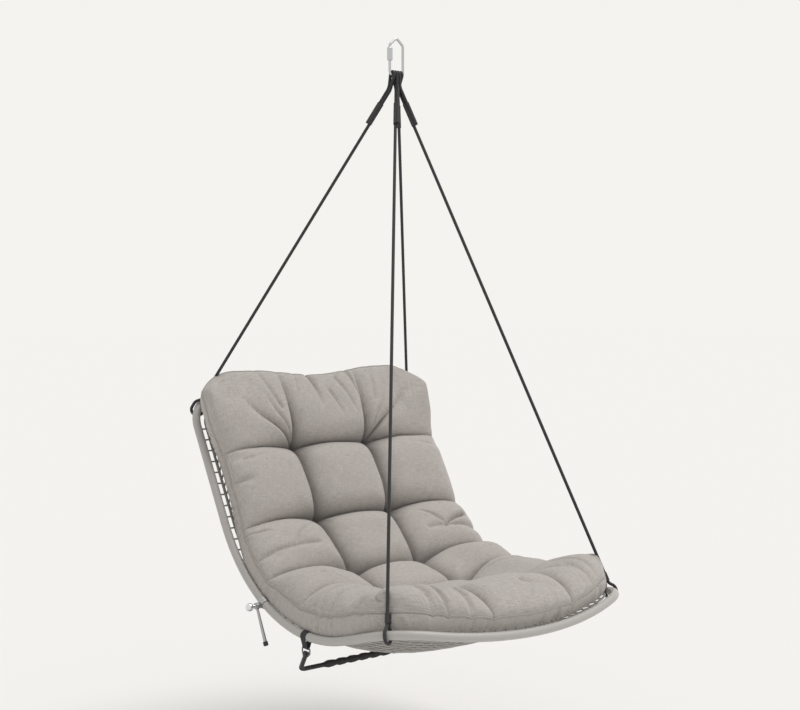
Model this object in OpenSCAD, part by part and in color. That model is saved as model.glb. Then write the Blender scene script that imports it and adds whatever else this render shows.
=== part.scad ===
// Hanging swing bed: a deep tufted cushion in a netted ring of bent tube,
// hung by four ropes from one quick link. Millimetres, Z up, the seat faces -Y.
// The origin is the point inside the crown of the link where it rides on its hook.

/* [Quick link] */
// Diameter of the link wire
link_wire = 10; // [9:0.5:11]
// Width of the link between wire centres
link_width = 62; // [61:1:68]
// Height of the link between wire centres
link_height = 131; // [128:1:150]
// Radius of the two lower bends
link_corner = 13; // [11:1:14]
// Radius of the crown bend
link_crown = 11; // [9:1:13]
// Slope of the shoulders, away from upright
link_slope = 50; // [46:1:54]
// Radius of the two shoulder bends
link_shoulder = 14; // [10:1:16]
// Length of the sleeve nut
nut_length = 48; // [44:1:50]
// Width of the sleeve nut across its flats
nut_flats = 19; // [17:0.5:20]
// Gap in the wire that the sleeve nut closes
gate_gap = 14; // [12:1:16]
// Length of the upper thread that the nut holds
nut_grip = 10; // [8:1:11]

/* [Ropes] */
// Diameter of the ropes
rope_d = 12; // [10:0.5:12]
// Slope of the returning strand of an upper eye
eye_slope = 15; // [13:1:17]
// Slope of both strands of a lower eye
foot_slope = 42; // [38:1:44]
// Length over which an upper rope end lies against its rope
lap_length = 136; // [120:1:150]
// Length of the sewn sleeve over that end
splice_length = 88; // [70:1:100]
// Wall of the sewn sleeves and the collars
splice_wall = 1.6; // [1.2:0.1:2]
// Length of the collar above each lower eye
collar_length = 30; // [24:1:34]
// Place of the back ropes on the top corner bends, as a share of the bend
back_rope_at = 0.5; // [0.46:0.01:0.54]
// Place of the front ropes on the front corner bends, as a share of the bend
front_rope_at = 0.33; // [0.28:0.01:0.4]
// Radius of the lower eyes
foot_r = 23; // [22.5:0.5:24]
// Half length of the straight sides of the lower eyes of the back ropes, which cross the
// tube on a slant
back_eye_h = 7; // [6.5:0.5:9]
// Half length of the straight sides of the lower eyes of the front ropes
front_eye_h = 2; // [2:0.5:4]

/* [Ring frame] */
// Diameter of the frame tube
tube_d = 30; // [28:0.5:30]
// Half width of the frame at the side rails
half_width = 540; // [530:1:550]
// Lean of the back rails from upright
back_lean = 28.4; // [26:0.1:31]
// Length of the straight back rails
back_length = 388; // [370:1:410]
// Radius of the bend between back and seat
knee_r = 613; // [590:1:640]
// Rise of the seat rails towards the front
seat_rise = 15.5; // [14:0.1:17]
// Length of the straight seat rails
seat_length = 147; // [130:1:165]
// Radius of the front corner bends
front_corner_r = 166; // [160:1:175]
// Angle at which the front bow leaves the corners
front_bow = 19.8; // [18:0.1:22]
// Dip of the plane of the front bow
front_dip = 27.5; // [24:0.1:30]
// Radius of the top corner bends
back_corner_r = 120; // [110:1:130]
// Angle at which the top bow leaves the corners
back_bow = 12; // [10:0.5:14]
// Distance of the top bow behind the hook
top_back = 589; // [580:1:600]
// Distance of the top bow below the ropes' apex
top_drop = 1151; // [1130:1:1170]

/* [Net] */
// Distance of the edge cord inside the tube's centreline
edge_inset = 36; // [35:1:38]
// Diameter of the edge cord
edge_d = 8; // [6:0.5:9]
// Diameter of the lacing cord between tube and edge cord
lace_d = 6; // [5:0.5:7]
// Pitch of the lacing along the rails
lace_pitch = 44; // [40:1:50]
// Openings of the net across the seat
net_across = 12; // [10:1:14]
// Openings of the net from top to front
net_along = 18; // [14:1:20]
// Width of the net's cords
net_cord = 11; // [8:0.5:14]
// Thickness of the net
net_thick = 6; // [5:0.5:7]
// Hang of the net below the back rails
net_hang_back = 38; // [30:1:45]
// Hang of the net below the seat rails
net_hang_seat = 92; // [80:1:95]

/* [Cushion] */
// Inset of the cushion's edge from the tube's centreline
pad_inset = 49; // [49:1:53]
// Height of the cushion's seam above the rails' plane
pad_seam = 70; // [66:1:76]
// Extra height of the seam along the top edge
pad_ear = 24; // [16:1:28]
// Distance of the upper layer's top corners above the top bow's middle
pad_over_top = 12; // [6:1:14]
// Reach of the cushion's sides over their foot
pad_over_side = 20; // [14:1:22]
// Reach of the cushion's front over its foot
pad_over_front = 14; // [8:1:15]
// Height of the pillows above the rails' plane
pad_crown = 122; // [114:1:130]
// Extra height of the pillows at the sides of the seat
pad_seat_crown = 22; // [12:1:26]
// Height of the tufts above the rails' plane
pad_tuft = 48; // [40:1:55]
// Half distance between the two columns of tufts
tuft_half = 169; // [160:1:178]
// Distance of the first tufts below the top bow
tuft_first = 300; // [290:1:310]
// Distance between rows of tufts
tuft_pitch = 305; // [298:1:312]

/* [Foot bar] */
// Diameter of the bar under the seat
bar_d = 16; // [14:1:18]
// Bend radius of the bar's lower corners
bar_corner = 32; // [26:1:40]
// Depth of the bar below the rails at its straps
bar_depth = 140; // [130:1:150]
// Distance of the straps in front of the hook
strap_front = 174; // [160:1:190]
// Half width of the bar below the straps
bar_half = 500; // [490:1:510]
// Setback of the bar behind its straps
bar_back = 92; // [80:1:100]
// Width of the straps' webbing
strap_w = 26; // [22:1:30]
// Thickness of the straps' webbing
strap_t = 2.5; // [2:0.1:3]
// Diameter of the wrapped grip on the bar
grip_d = 26; // [22:1:28]

/* [Rest legs] */
// Distance of the leg pivots behind the hook
leg_back = 78; // [70:1:90]
// Drop of the leg pivots below the middle of the rails
leg_drop = 11; // [8:1:13]
// Length of a leg from its pivot to the floor tip
leg_length = 142; // [130:1:155]
// Forward lean of a leg as it stands
leg_lean = 24; // [20:1:28]
// Diameter of a leg at its eye
leg_top_d = 9; // [8:0.5:10]
// Diameter of a leg at its tip
leg_tip_d = 13; // [12:0.5:15]
// Diameter of the pivot spindles
spindle_d = 10; // [9:0.5:11]
// Diameter of the ball knobs
ball_d = 29; // [26:1:32]
// Running clearance of the pivots
pivot_gap = 0.1; // [0.05:0.05:0.2]

/* [Hidden] */
$fn = 48;

steel = [0.78, 0.79, 0.80];
rope_black = [0.07, 0.07, 0.08];
sleeve_grey = [0.22, 0.22, 0.23];
taupe = [0.70, 0.68, 0.66];
cord_grey = [0.66, 0.65, 0.62];
linen = [0.68, 0.65, 0.62];

// Small gap between soft pieces and what they touch
seat_gap = 0.3;
// Gap between the two strands of a lapped rope end
strand_gap = 0.2;

// Width and height of the beads where bent pieces join, and the gap under them
bead_w = 1.2;
bead_h = 0.1;
bead_gap = 0.1;

X = [1, 0, 0];
Z = [0, 0, 1];
function unit(v) = v / norm(v);
function mix(a, b, t) = a + (b - a) * t;
function clamp01(t) = max(0, min(1, t));
function ease(t) = clamp01(t) * clamp01(t) * (3 - 2 * clamp01(t));
function flip(p) = [-p[0], p[1], p[2]];
// Unit vector square to t on the side of b
function square_to(t, b) = unit(b - (b * t) * t);
function angle_of(a, b) = acos(max(-1, min(1, a * b)));
// End point and end direction of a bend that starts at p along t and turns towards e
function bend_end(p, t, e, r, ang) = p + r * ((1 - cos(ang)) * e + sin(ang) * t);

// Round bar from p to q, with a weld bead at each end that joins it to what follows
module bar(p, q, d) {
    w = unit(q - p);
    u = unit(cross(abs(w[2]) > 0.9 ? X : Z, w));
    v = cross(w, u);
    multmatrix([[u[0], v[0], w[0], p[0]], [u[1], v[1], w[1], p[1]],
        [u[2], v[2], w[2], p[2]], [0, 0, 0, 1]]) {
        translate([0, 0, bead_gap])
            cylinder(h = norm(q - p) - 2 * bead_gap, d = d);
        translate([0, 0, -bead_w / 2])
            cylinder(h = bead_w, d = d + 2 * bead_h);
        translate([0, 0, norm(q - p) - bead_w / 2])
            cylinder(h = bead_w, d = d + 2 * bead_h);
    }
}

// Round bend that starts at p along t and turns towards e
module bend(p, t, e, r, ang, d) {
    c = p + r * e;
    a = -e;
    n = cross(a, t);
    multmatrix([[a[0], t[0], n[0], c[0]], [a[1], t[1], n[1], c[1]],
        [a[2], t[2], n[2], c[2]], [0, 0, 0, 1]])
        rotate([0, 0, bead_gap / r * 180 / PI])
            rotate_extrude(angle = ang - 2 * bead_gap / r * 180 / PI, $fn = r > 100 ? 250 : 72)
                translate([r, 0])
                    circle(d = d, $fn = 48);
}

// Bead where two bends meet at p along w
module bead(p, w, d) {
    u = unit(cross(abs(w[2]) > 0.9 ? X : Z, w));
    place(p - bead_w / 2 * w, u, w)
        cylinder(h = bead_w, d = d + 2 * bead_h);
}

module both_sides() {
    children();
    mirror([1, 0, 0])
        children();
}

// Moves a shape drawn along Z at the origin to p, with Z along w and X along u
module place(p, u, w) {
    v = cross(w, u);
    multmatrix([[u[0], v[0], w[0], p[0]], [u[1], v[1], w[1], p[1]],
        [u[2], v[2], w[2], p[2]], [0, 0, 0, 1]])
        children();
}

// ---- Quick link ----
link_drop = link_height - link_wire / 2;
apex = [0, 0, -link_drop];
link_x = link_width / 2;
shoulder_x = link_x - link_shoulder * (1 - cos(link_slope));
slant = (shoulder_x - link_crown * cos(link_slope)) / sin(link_slope);
crown_z = link_height - link_crown;
slant_z = crown_z + link_crown * sin(link_slope) - slant * cos(link_slope);
leg_top_z = slant_z - link_shoulder * sin(link_slope);
nut_top_z = leg_top_z - 4;
gate_top_z = nut_top_z - nut_grip;

module link_side() {
    bend([link_x - link_corner, 0, 0], X, Z, link_corner, 90, link_wire);
    bend([link_x, 0, leg_top_z], Z, -X, link_shoulder, link_slope, link_wire);
    bar([shoulder_x, 0, slant_z],
        [link_crown * cos(link_slope), 0, crown_z + link_crown * sin(link_slope)], link_wire);
}

module quick_link() {
    color(steel)
        translate(apex) {
            both_sides()
                link_side();
            bar([-link_x + link_corner, 0, 0], [link_x - link_corner, 0, 0], link_wire);
            bend([link_crown * cos(link_slope), 0, crown_z + link_crown * sin(link_slope)],
                [-sin(link_slope), 0, cos(link_slope)],
                [-cos(link_slope), 0, -sin(link_slope)],
                link_crown, 180 - 2 * link_slope, link_wire);
            bar([link_x, 0, link_corner], [link_x, 0, leg_top_z], link_wire);
            bar([-link_x, 0, link_corner], [-link_x, 0, gate_top_z - gate_gap], link_wire);
            bar([-link_x, 0, gate_top_z], [-link_x, 0, leg_top_z], link_wire);
        }
}

module link_nut() {
    corner = nut_flats / cos(30) / 2;
    bore = link_wire / 2 + bead_h + 0.06;
    color(steel)
        translate(apex + [-link_x, 0, nut_top_z - nut_length])
            difference() {
                intersection() {
                    cylinder(h = nut_length, r = corner, $fn = 6);
                    rotate_extrude()
                        polygon([[0, 0], [corner - 2.4, 0], [corner, 3.2],
                            [corner, nut_length - 3.2], [corner - 2.4, nut_length],
                            [0, nut_length]]);
                }
                translate([0, 0, -1])
                    cylinder(h = nut_length + 2, r = bore);
            }
}

// ---- Ring frame, as bends that follow each other ----
// Directions down the back rail, up the seat rail and down the front bow's plane
down_back = [0, -sin(back_lean), -cos(back_lean)];
up_seat = [0, -cos(seat_rise), sin(seat_rise)];
down_front = [0, -cos(front_dip), -sin(front_dip)];
back_normal = [0, -cos(back_lean), sin(back_lean)];
seat_normal = [0, sin(seat_rise), cos(seat_rise)];
top_mid = [0, top_back, -link_drop - top_drop];
knee_angle = angle_of(down_back, up_seat);
corner_out = sin(front_bow) * down_front + cos(front_bow) * X;
corner_angle = angle_of(up_seat, corner_out);
corner_in = square_to(up_seat, corner_out);

// Points of the left half at an inset i from the tube's centreline
function top_half(i) = half_width - back_corner_r + (back_corner_r - i) * sin(back_bow);
function top_r(i) = top_half(i) / sin(back_bow);
function top_end(i) = top_mid + i * down_back + top_r(i) * (1 - cos(back_bow)) * down_back
    - top_half(i) * X;
function top_turn() = cos(back_bow) * -X + sin(back_bow) * down_back;
function top_side() = sin(back_bow) * X + cos(back_bow) * down_back;
function rail_top(i) = bend_end(top_end(i), top_turn(), top_side(), back_corner_r - i,
    90 - back_bow);
function rail_knee(i) = rail_top(i) + (back_length + slack(i)) * down_back;
// What the inset of the top bow takes from the length of the back rail
function slack(i) = (rail_top(0) - rail_top(i)) * down_back;
function rail_seat(i) = bend_end(rail_knee(i), down_back, back_normal, knee_r, knee_angle);
function rail_front(i) = rail_seat(i) + seat_length * up_seat;
function front_end(i) = bend_end(rail_front(i), up_seat, corner_in, front_corner_r - i,
    corner_angle);
function front_r(i) = -front_end(i)[0] / sin(front_bow);

module ring(i, d) {
    both_sides() {
        bend(top_end(i), top_turn(), top_side(), back_corner_r - i, 90 - back_bow, d);
        bar(rail_top(i), rail_knee(i), d);
        bend(rail_knee(i), down_back, back_normal, knee_r, knee_angle, d);
        bar(rail_seat(i), rail_front(i), d);
        bend(rail_front(i), up_seat, corner_in, front_corner_r - i, corner_angle, d);
        bead(top_end(i), top_turn(), d);
        bead(front_end(i), corner_out, d);
    }
    bend(flip(top_end(i)), cos(back_bow) * -X - sin(back_bow) * down_back,
        cos(back_bow) * down_back - sin(back_bow) * X, top_r(i), 2 * back_bow, d);
    bend(front_end(i), corner_out, sin(front_bow) * X - cos(front_bow) * down_front,
        front_r(i), 2 * front_bow, d);
}

module frame_tube() {
    color(taupe)
        ring(0, tube_d);
}

module net_edge_cord() {
    color(cord_grey)
        ring(edge_inset, edge_d);
}

// ---- Ropes ----
slot_pitch = rope_d + 2 * strand_gap;
eye_r = link_wire / 2 + seat_gap + rope_d / 2;
strand_step = rope_d + strand_gap;
eye_back_r = 30;
foot_back_r = 20;
foot_lap_r = 15;
fan_r = 40;

// Length of the slanted strand of an eye, and the height at which its end lies by the rope
function slant_length(r, a, rb) = (r - strand_step + r * cos(a) - rb * (1 - cos(a))) / sin(a);
function eye_height(r, a, rb) = r * sin(a) + slant_length(r, a, rb) * cos(a) + rb * sin(a);
// The same for a lower eye, whose two strands meet over the middle of the tube
function foot_slant(rb) = (foot_r * cos(foot_slope) - strand_step / 2
    - rb * (1 - cos(foot_slope))) / sin(foot_slope);
function foot_height(rb, h) = h + foot_r * sin(foot_slope)
    + foot_slant(rb) * cos(foot_slope) + rb * sin(foot_slope);
upper_height = eye_height(eye_r, eye_slope, eye_back_r) + 4;

// Point and direction of the tube where a rope is fixed, on the left side
back_turn = back_rope_at * (90 - back_bow);
front_turn = front_rope_at * corner_angle;
function rope_point(back) = back
    ? bend_end(top_end(0), top_turn(), top_side(), back_corner_r, back_turn)
    : bend_end(rail_front(0), up_seat, corner_in, front_corner_r, front_turn);
function rope_tangent(back) = back
    ? cos(back_turn) * top_turn() + sin(back_turn) * top_side()
    : cos(front_turn) * up_seat + sin(front_turn) * corner_in;
function slot(back) = apex - (back ? 1.5 : 0.5) * slot_pitch * X;
function eye_h(back) = back ? back_eye_h : front_eye_h;

// A rope leaves its slot along d in the plane of YZ, fans out over a bend and runs along u.
// Both directions are found by a few rounds of the same step.
function out_of(d, back) = (back ? -1 : 1) * [0, -d[2], d[1]];
function across(u, back) = unit(cross(u, rope_tangent(back)));
function rope_start(d, back) = slot(back) + eye_r * out_of(d, back);
function rope_end(u, back) = rope_point(back)
    + strand_step / 2 * across(u, back);
function fan_angle(d, u, back) =
    let (q = rope_end(u, back) - rope_start(d, back) - upper_height * d,
        a = q * d,
        b = -q[0] - fan_r,
        l = sqrt(a * a + b * b - fan_r * fan_r))
    atan2(b, a) + atan2(fan_r, l);
function fan_dir(d, b) = cos(b) * d - sin(b) * X;
function next_d(d, u, back) =
    let (q = rope_end(u, back) - rope_start(d, back))
    unit([0, q[1], q[2]]);
function rope_dirs(d, u, back, n) = n == 0
    ? [d, u]
    : let (d2 = next_d(d, u, back))
        rope_dirs(d2, fan_dir(d2, fan_angle(d2, u, back)), back, n - 1);
function first_d(back) = unit([0, rope_point(back)[1], rope_point(back)[2] + link_drop]);
back_dirs = rope_dirs(first_d(true), unit(rope_point(true) - apex), true, 8);
front_dirs = rope_dirs(first_d(false), unit(rope_point(false) - apex), false, 8);
function dirs(back) = back ? back_dirs : front_dirs;

// Eye round c: the standing strand lies on the side of m, the other returns along d beside it
module eye(c, d, m, r, a, rb) {
    v = cos(a) * d + sin(a) * m;
    p = c - r * cos(a) * m + r * sin(a) * d;
    q = p + slant_length(r, a, rb) * v;
    bend(c + r * m, -d, -m, r, 180 + a, rope_d);
    bar(p, q, rope_d);
    bend(q, v, sin(a) * d - cos(a) * m, rb, a, rope_d);
}

// Eye round c, whose two strands rise along d on both sides of it, with the ends of the
// ring spread along k and drawn out by h
module foot_eye(c, d, k, h) {
    a = foot_slope;
    bend(c - h * d - foot_r * k, -d, k, foot_r, 180, rope_d);
    for (g = [1, -1]) {
        v = cos(a) * d - g * sin(a) * k;
        p = c + g * foot_r * k;
        p2 = bend_end(p + h * d, d, -g * k, foot_r, a);
        rb = g > 0 ? foot_back_r : foot_lap_r;
        q = p2 + foot_slant(rb) * v;
        bar(p - h * d, p + h * d, rope_d);
        bend(p + h * d, d, -g * k, foot_r, a, rope_d);
        bar(p2, q, rope_d);
        bend(q, v, sin(a) * d + g * cos(a) * k, rb, a, rope_d);
    }
}

module rope(back) {
    d = dirs(back)[0];
    u = dirs(back)[1];
    m = out_of(d, back);
    k = across(u, back);
    start = rope_start(d, back);
    fan = fan_angle(d, u, back);
    p1 = start + upper_height * d;
    p2 = bend_end(p1, d, -X, fan_r, fan);
    foot_lap = rope_end(u, back) - strand_step * k - foot_height(foot_lap_r, eye_h(back)) * u;
    color(rope_black) {
        eye(slot(back), d, m, eye_r, eye_slope, eye_back_r);
        bar(start, p1, rope_d);
        bend(p1, d, -X, fan_r, fan, rope_d);
        bar(p2, rope_end(u, back) - foot_height(foot_back_r, eye_h(back)) * u, rope_d);
        bar(p1 - strand_step * m - 4 * d, p1 - strand_step * m, rope_d);
        bend(p1 - strand_step * m, d, -X, fan_r, fan, rope_d);
        bar(p2 - strand_step * m, p2 - strand_step * m + lap_length * u, rope_d);
        foot_eye(rope_point(back), -u, k, eye_h(back));
        bar(foot_lap, foot_lap - (collar_length + 4) * u, rope_d);
    }
}

// Sewn sleeve round a rope at p along w and the strand that lies one step behind it on m
module sleeve(p, w, m, len) {
    bore = rope_d / 2 + bead_h + 0.1;
    out = bore + splice_wall;
    color(sleeve_grey)
        place(p, m, w)
            difference() {
                linear_extrude(len) {
                    circle(r = out);
                    translate([-strand_step, 0])
                        circle(r = out);
                    translate([-strand_step, -out])
                        square([strand_step, 2 * out]);
                }
                translate([0, 0, -1])
                    cylinder(h = len + 2, r = bore);
                translate([-strand_step, 0, -1])
                    cylinder(h = len + 2, r = bore);
            }
}

module splice(back) {
    d = dirs(back)[0];
    u = dirs(back)[1];
    p2 = bend_end(rope_start(d, back) + upper_height * d, d, -X, fan_r, fan_angle(d, u, back));
    sleeve(p2 + (lap_length - splice_length + 3) * u, u, out_of(d, back), splice_length);
}

module collar(back) {
    u = dirs(back)[1];
    k = across(u, back);
    sleeve(rope_end(u, back) - (foot_height(foot_back_r, eye_h(back)) + 2) * u, -u, k,
        collar_length);
}

module rope_back_left() rope(true);
module rope_back_right() mirror(X) rope(true);
module rope_front_left() rope(false);
module rope_front_right() mirror(X) rope(false);
module splice_back_left() splice(true);
module splice_back_right() mirror(X) splice(true);
module splice_front_left() splice(false);
module splice_front_right() mirror(X) splice(false);
module collar_back_left() collar(true);
module collar_back_right() mirror(X) collar(true);
module collar_front_left() collar(false);
module collar_front_right() mirror(X) collar(false);

// ---- Surface that net and cushion follow ----
// s runs down the middle of the back from the top bow and forward along the seat,
// x across, h square to the surface towards the sitter.
knee_s = (rail_knee(0) - top_mid) * down_back;
seat_s = knee_s + knee_r * knee_angle * PI / 180;
front_s = seat_s + seat_length;
knee_centre = rail_knee(0) + knee_r * back_normal;
function turned(s) = back_lean + (s - knee_s) / knee_r * 180 / PI;
function rail_at(s) = s < knee_s
    ? [0, top_mid[1], top_mid[2]] + s * down_back
    : s < seat_s
        ? [0, knee_centre[1] + knee_r * cos(turned(s)), knee_centre[2] - knee_r * sin(turned(s))]
        : [0, rail_seat(0)[1], rail_seat(0)[2]] + (s - seat_s) * up_seat;
function rail_normal(s) = s < knee_s
    ? back_normal
    : s < seat_s ? [0, -cos(turned(s)), sin(turned(s))] : seat_normal;
net_inset = edge_inset + edge_d / 2 + 1;
net_half = half_width - net_inset;
pad_half = half_width - pad_inset;

// Point of the front edge of the net at x
function front_centre() = front_end(net_inset)
    + front_r(net_inset) * (sin(front_bow) * X - cos(front_bow) * down_front);
function front_at(x) = abs(x) <= -front_end(net_inset)[0]
    ? front_centre() + x * X + sqrt(pow(front_r(net_inset), 2) - x * x) * down_front
    : let (r = front_corner_r - net_inset,
        c = 1 - (net_half - abs(x)) / (r * corner_in[0]),
        p = bend_end(rail_front(net_inset), up_seat, corner_in, r, acos(max(-1, min(1, c)))))
    [x, p[1], p[2]];
seat_edge = rail_at(front_s);
function front_length(x) = max(0.5, norm(front_at(x) - seat_edge - x * X));
// Distance of the top edge from the top bow's middle, at an inset i
function top_at(x, i) = abs(x) <= top_half(i)
    ? i + top_r(i) - sqrt(pow(top_r(i), 2) - x * x)
    : let (r = back_corner_r - i, c = abs(x) - half_width + back_corner_r)
    (rail_top(0) - top_mid) * down_back - sqrt(max(0, r * r - c * c));
function net_end(x) = front_s + front_length(x);
function laid_at(x, s, h) = s <= front_s
    ? x * X + rail_at(s) + h * rail_normal(s)
    : let (f = front_length(x),
        t = min(1, (s - front_s) / f),
        g = seat_edge + x * X,
        c = g + 0.5 * f * up_seat,
        b = front_at(x),
        p = (1 - t) * (1 - t) * g + 2 * t * (1 - t) * c + t * t * b,
        w = unit(2 * (1 - t) * (c - g) + 2 * t * (b - c)),
        v = unit(mix(up_seat, w, clamp01(f / 50))))
    p + max(0, s - front_s - f) * v + h * unit([0, v[2], -v[1]]);
// How far the net hangs below the rails at x, s
function hang(x, s) =
    let (u = min(1, abs(x) / net_half),
        xe = max(-net_half, min(net_half, x)),
        t0 = top_at(xe, net_inset),
        v = clamp01((s - t0) / (net_end(xe) - t0)))
    mix(net_hang_back, net_hang_seat, ease((s - knee_s + 100) / 400))
        * (1 - pow(u, 3)) * (1 - pow(abs(2 * v - 1), 8));

// ---- Net ----
function net_point(u, v, h) =
    let (x = u * net_half,
        t0 = top_at(x, net_inset),
        s = t0 + v * (net_end(x) - t0))
    laid_at(x, s, h - hang(x, s));
net_cols = net_across + 1;
net_grid = net_cols * (net_along + 1);
function grid_u(j) = 2 * j / net_across - 1;
function grid_v(i) = i / net_along;
// Share of an opening's width and length that half a cord takes
net_du = net_cord / 4 / net_half * net_across;
net_dv = net_cord / 2 / 1650 * net_along;
// Corners of one opening, in turn
net_corner = [[0, 0, 1, 1], [1, 0, -1, 1], [1, 1, -1, -1], [0, 1, 1, -1]];
function cell_first(i, j, low) = 2 * net_grid + 8 * (i * net_across + j) + 4 * low;
function quad(a, b, c, d) = [[a, b, c], [a, c, d]];
function net_knot(i, j, low) = net_point(grid_u(j), grid_v(i), (0.5 - low) * net_thick);
function cell_point(i, j, low, k) =
    let (a = k[0] + k[2] * net_du, b = k[1] + k[3] * net_dv)
    mix(mix(net_knot(i, j, low), net_knot(i, j + 1, low), a),
        mix(net_knot(i + 1, j, low), net_knot(i + 1, j + 1, low), a), b);
net_points = concat(
    [for (low = [0, 1], i = [0 : net_along], j = [0 : net_across]) net_knot(i, j, low)],
    [for (i = [0 : net_along - 1], j = [0 : net_across - 1], low = [0, 1], k = net_corner)
        cell_point(i, j, low, k)]);
function g(low, i, j) = low * net_grid + i * net_cols + j;
net_faces = [
    for (i = [0 : net_along - 1], j = [0 : net_across - 1], k = [0 : 3])
        let (a = net_corner[k], b = net_corner[(k + 1) % 4],
            t = cell_first(i, j, 0), w = cell_first(i, j, 1), n = (k + 1) % 4)
        each concat(
            quad(g(0, i + a[1], j + a[0]), g(0, i + b[1], j + b[0]), t + n, t + k),
            quad(g(1, i + a[1], j + a[0]), w + k, w + n, g(1, i + b[1], j + b[0])),
            quad(t + k, t + n, w + n, w + k)),
    for (j = [0 : net_across - 1])
        each concat(
            quad(g(0, 0, j + 1), g(0, 0, j), g(1, 0, j), g(1, 0, j + 1)),
            quad(g(0, net_along, j), g(0, net_along, j + 1), g(1, net_along, j + 1),
                g(1, net_along, j))),
    for (i = [0 : net_along - 1])
        each concat(
            quad(g(0, i, 0), g(0, i + 1, 0), g(1, i + 1, 0), g(1, i, 0)),
            quad(g(0, i + 1, net_across), g(0, i, net_across), g(1, i, net_across),
                g(1, i + 1, net_across)))];

module net() {
    color(cord_grey)
        polyhedron(points = net_points, faces = net_faces);
}

// ---- Lacing from the tube to the edge cord ----
strap_y = -strap_front;
leg_y = leg_back;
clamp_w = 24;
clamp_s = knee_s + knee_r * (asin((leg_y - knee_centre[1]) / knee_r) * -1 + 90 - back_lean)
    * PI / 180;
strap_s = knee_s + knee_r * (asin((strap_y - knee_centre[1]) / knee_r) * -1 + 90 - back_lean)
    * PI / 180;
first_s = (rail_top(0) - top_mid) * down_back + 12;

module rung(p, q) {
    w = unit(q - p);
    place(p + (tube_d / 2 + seat_gap) * w, square_to(w, abs(w[0]) > 0.8 ? Z : X), w)
        cylinder(h = norm(q - p) - tube_d / 2 - edge_d / 2 - 2 * seat_gap, d = lace_d, $fn = 24);
}

// Point of the top and the front bow at an inset i and an angle a from the middle
function top_bow(i, a) = top_mid + top_r(0) * down_back
    + (top_r(0) - i) * (sin(a) * X - cos(a) * down_back);
function front_bow_centre() = front_end(0)
    + front_r(0) * (sin(front_bow) * X - cos(front_bow) * down_front);
function front_bow_at(i, a) = front_bow_centre()
    + (front_r(0) - i) * (sin(a) * X + cos(a) * down_front);

module net_lacing() {
    top_step = lace_pitch / top_r(0) * 180 / PI;
    front_step = lace_pitch / front_r(0) * 180 / PI;
    top_rungs = floor((back_bow - 2) / top_step);
    front_rungs = floor((front_bow - 2) / front_step);
    color(cord_grey) {
        both_sides()
            for (s = [first_s : lace_pitch : front_s])
                if (abs(s - clamp_s) > clamp_w / 2 + lace_d
                        && abs(s - strap_s) > strap_w / 2 + lace_d)
                    rung(rail_at(s) - half_width * X, rail_at(s) - (half_width - edge_inset) * X);
        for (j = [-top_rungs : top_rungs])
            rung(top_bow(0, j * top_step), top_bow(edge_inset, j * top_step));
        for (j = [-front_rungs : front_rungs])
            rung(front_bow_at(0, j * front_step), front_bow_at(edge_inset, j * front_step));
    }
}

// ---- Cushion ----
// Stops across the cushion, with the columns of tufts among them
pad_x = [0, 75, 132, tuft_half, tuft_half + 37, 262, 338, 410, pad_half - 28];
pad_us = concat([-1], [for (i = [8 : -1 : 1]) -pad_x[i] / pad_half], [0],
    [for (i = [1 : 8]) pad_x[i] / pad_half], [1]);
pad_cols = len(pad_us);
// Stops along the cushion: five to each row of pillows, with the rows of tufts among them
pad_step = [0, 0.12, 0.36, 0.64, 0.88];
pad_bottom_row = top_at(0, pad_inset);
pad_end_row = net_end(0) - (pad_inset - net_inset);
pad_stops = concat([0, 0.02],
    [for (k = [-1 : 5], f = pad_step)
        let (v = (tuft_first + (k + f) * tuft_pitch - pad_bottom_row)
            / (pad_end_row - pad_bottom_row))
        if (v > 0.045 && v < 0.965) v],
    [0.985, 1]);
pad_rows = len(pad_stops);
// Clearance over the net, which its facets need
pad_over_net = 4;
function pad_s(u, v) =
    let (x = u * pad_half, t0 = top_at(x, pad_inset),
        e = net_end(u * net_half) - (pad_inset - net_inset) - 6)
    t0 + v * (e - t0);
// 1 on the line of a column or row of tufts, 0 between them
function near_line(t) = pow(1 - abs(cos(180 * t)), 1.5);
function dent(x, s) =
    let (a = near_line(x / (2 * tuft_half)), b = near_line((s - tuft_first) / tuft_pitch + 0.5))
    a * b + 0.45 * a * (1 - b) + 0.5 * b * (1 - a);
// Distance from the rim, as a share of the width over which the pillows round off
function pad_rim(u, v) =
    clamp01(min((1 - abs(u)) * pad_half, v * 1600, (1 - v) * 1600) / 90);
// 1 at the sides of the seat
function seat_side(x, s) = ease((s - 850) / 150) * ease((abs(x) - 230) / 150);
// Top edge of the upper layer, which dips at its middle and rounds its corners
function ear_s(x) = 28 * (1 - ease(abs(x) / 300)) - pad_over_top
    + 85 * pow(clamp01((abs(x) - 370) / (pad_half - 370)), 2.2);
function reach_x(u, v) = sign(u) * pad_over_side
    * pow(1 - clamp01((1 - abs(u)) * pad_half / 110), 2);
function reach_s(u, v) = pad_over_front * ease((1 - abs(u)) * pad_half / 90)
        * pow(1 - clamp01((1 - v) * 1600 / 110), 2)
    + (ear_s(u * pad_half) - top_at(u * pad_half, pad_inset)) * pow(1 - clamp01(v * 1600 / 120), 2);
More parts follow.
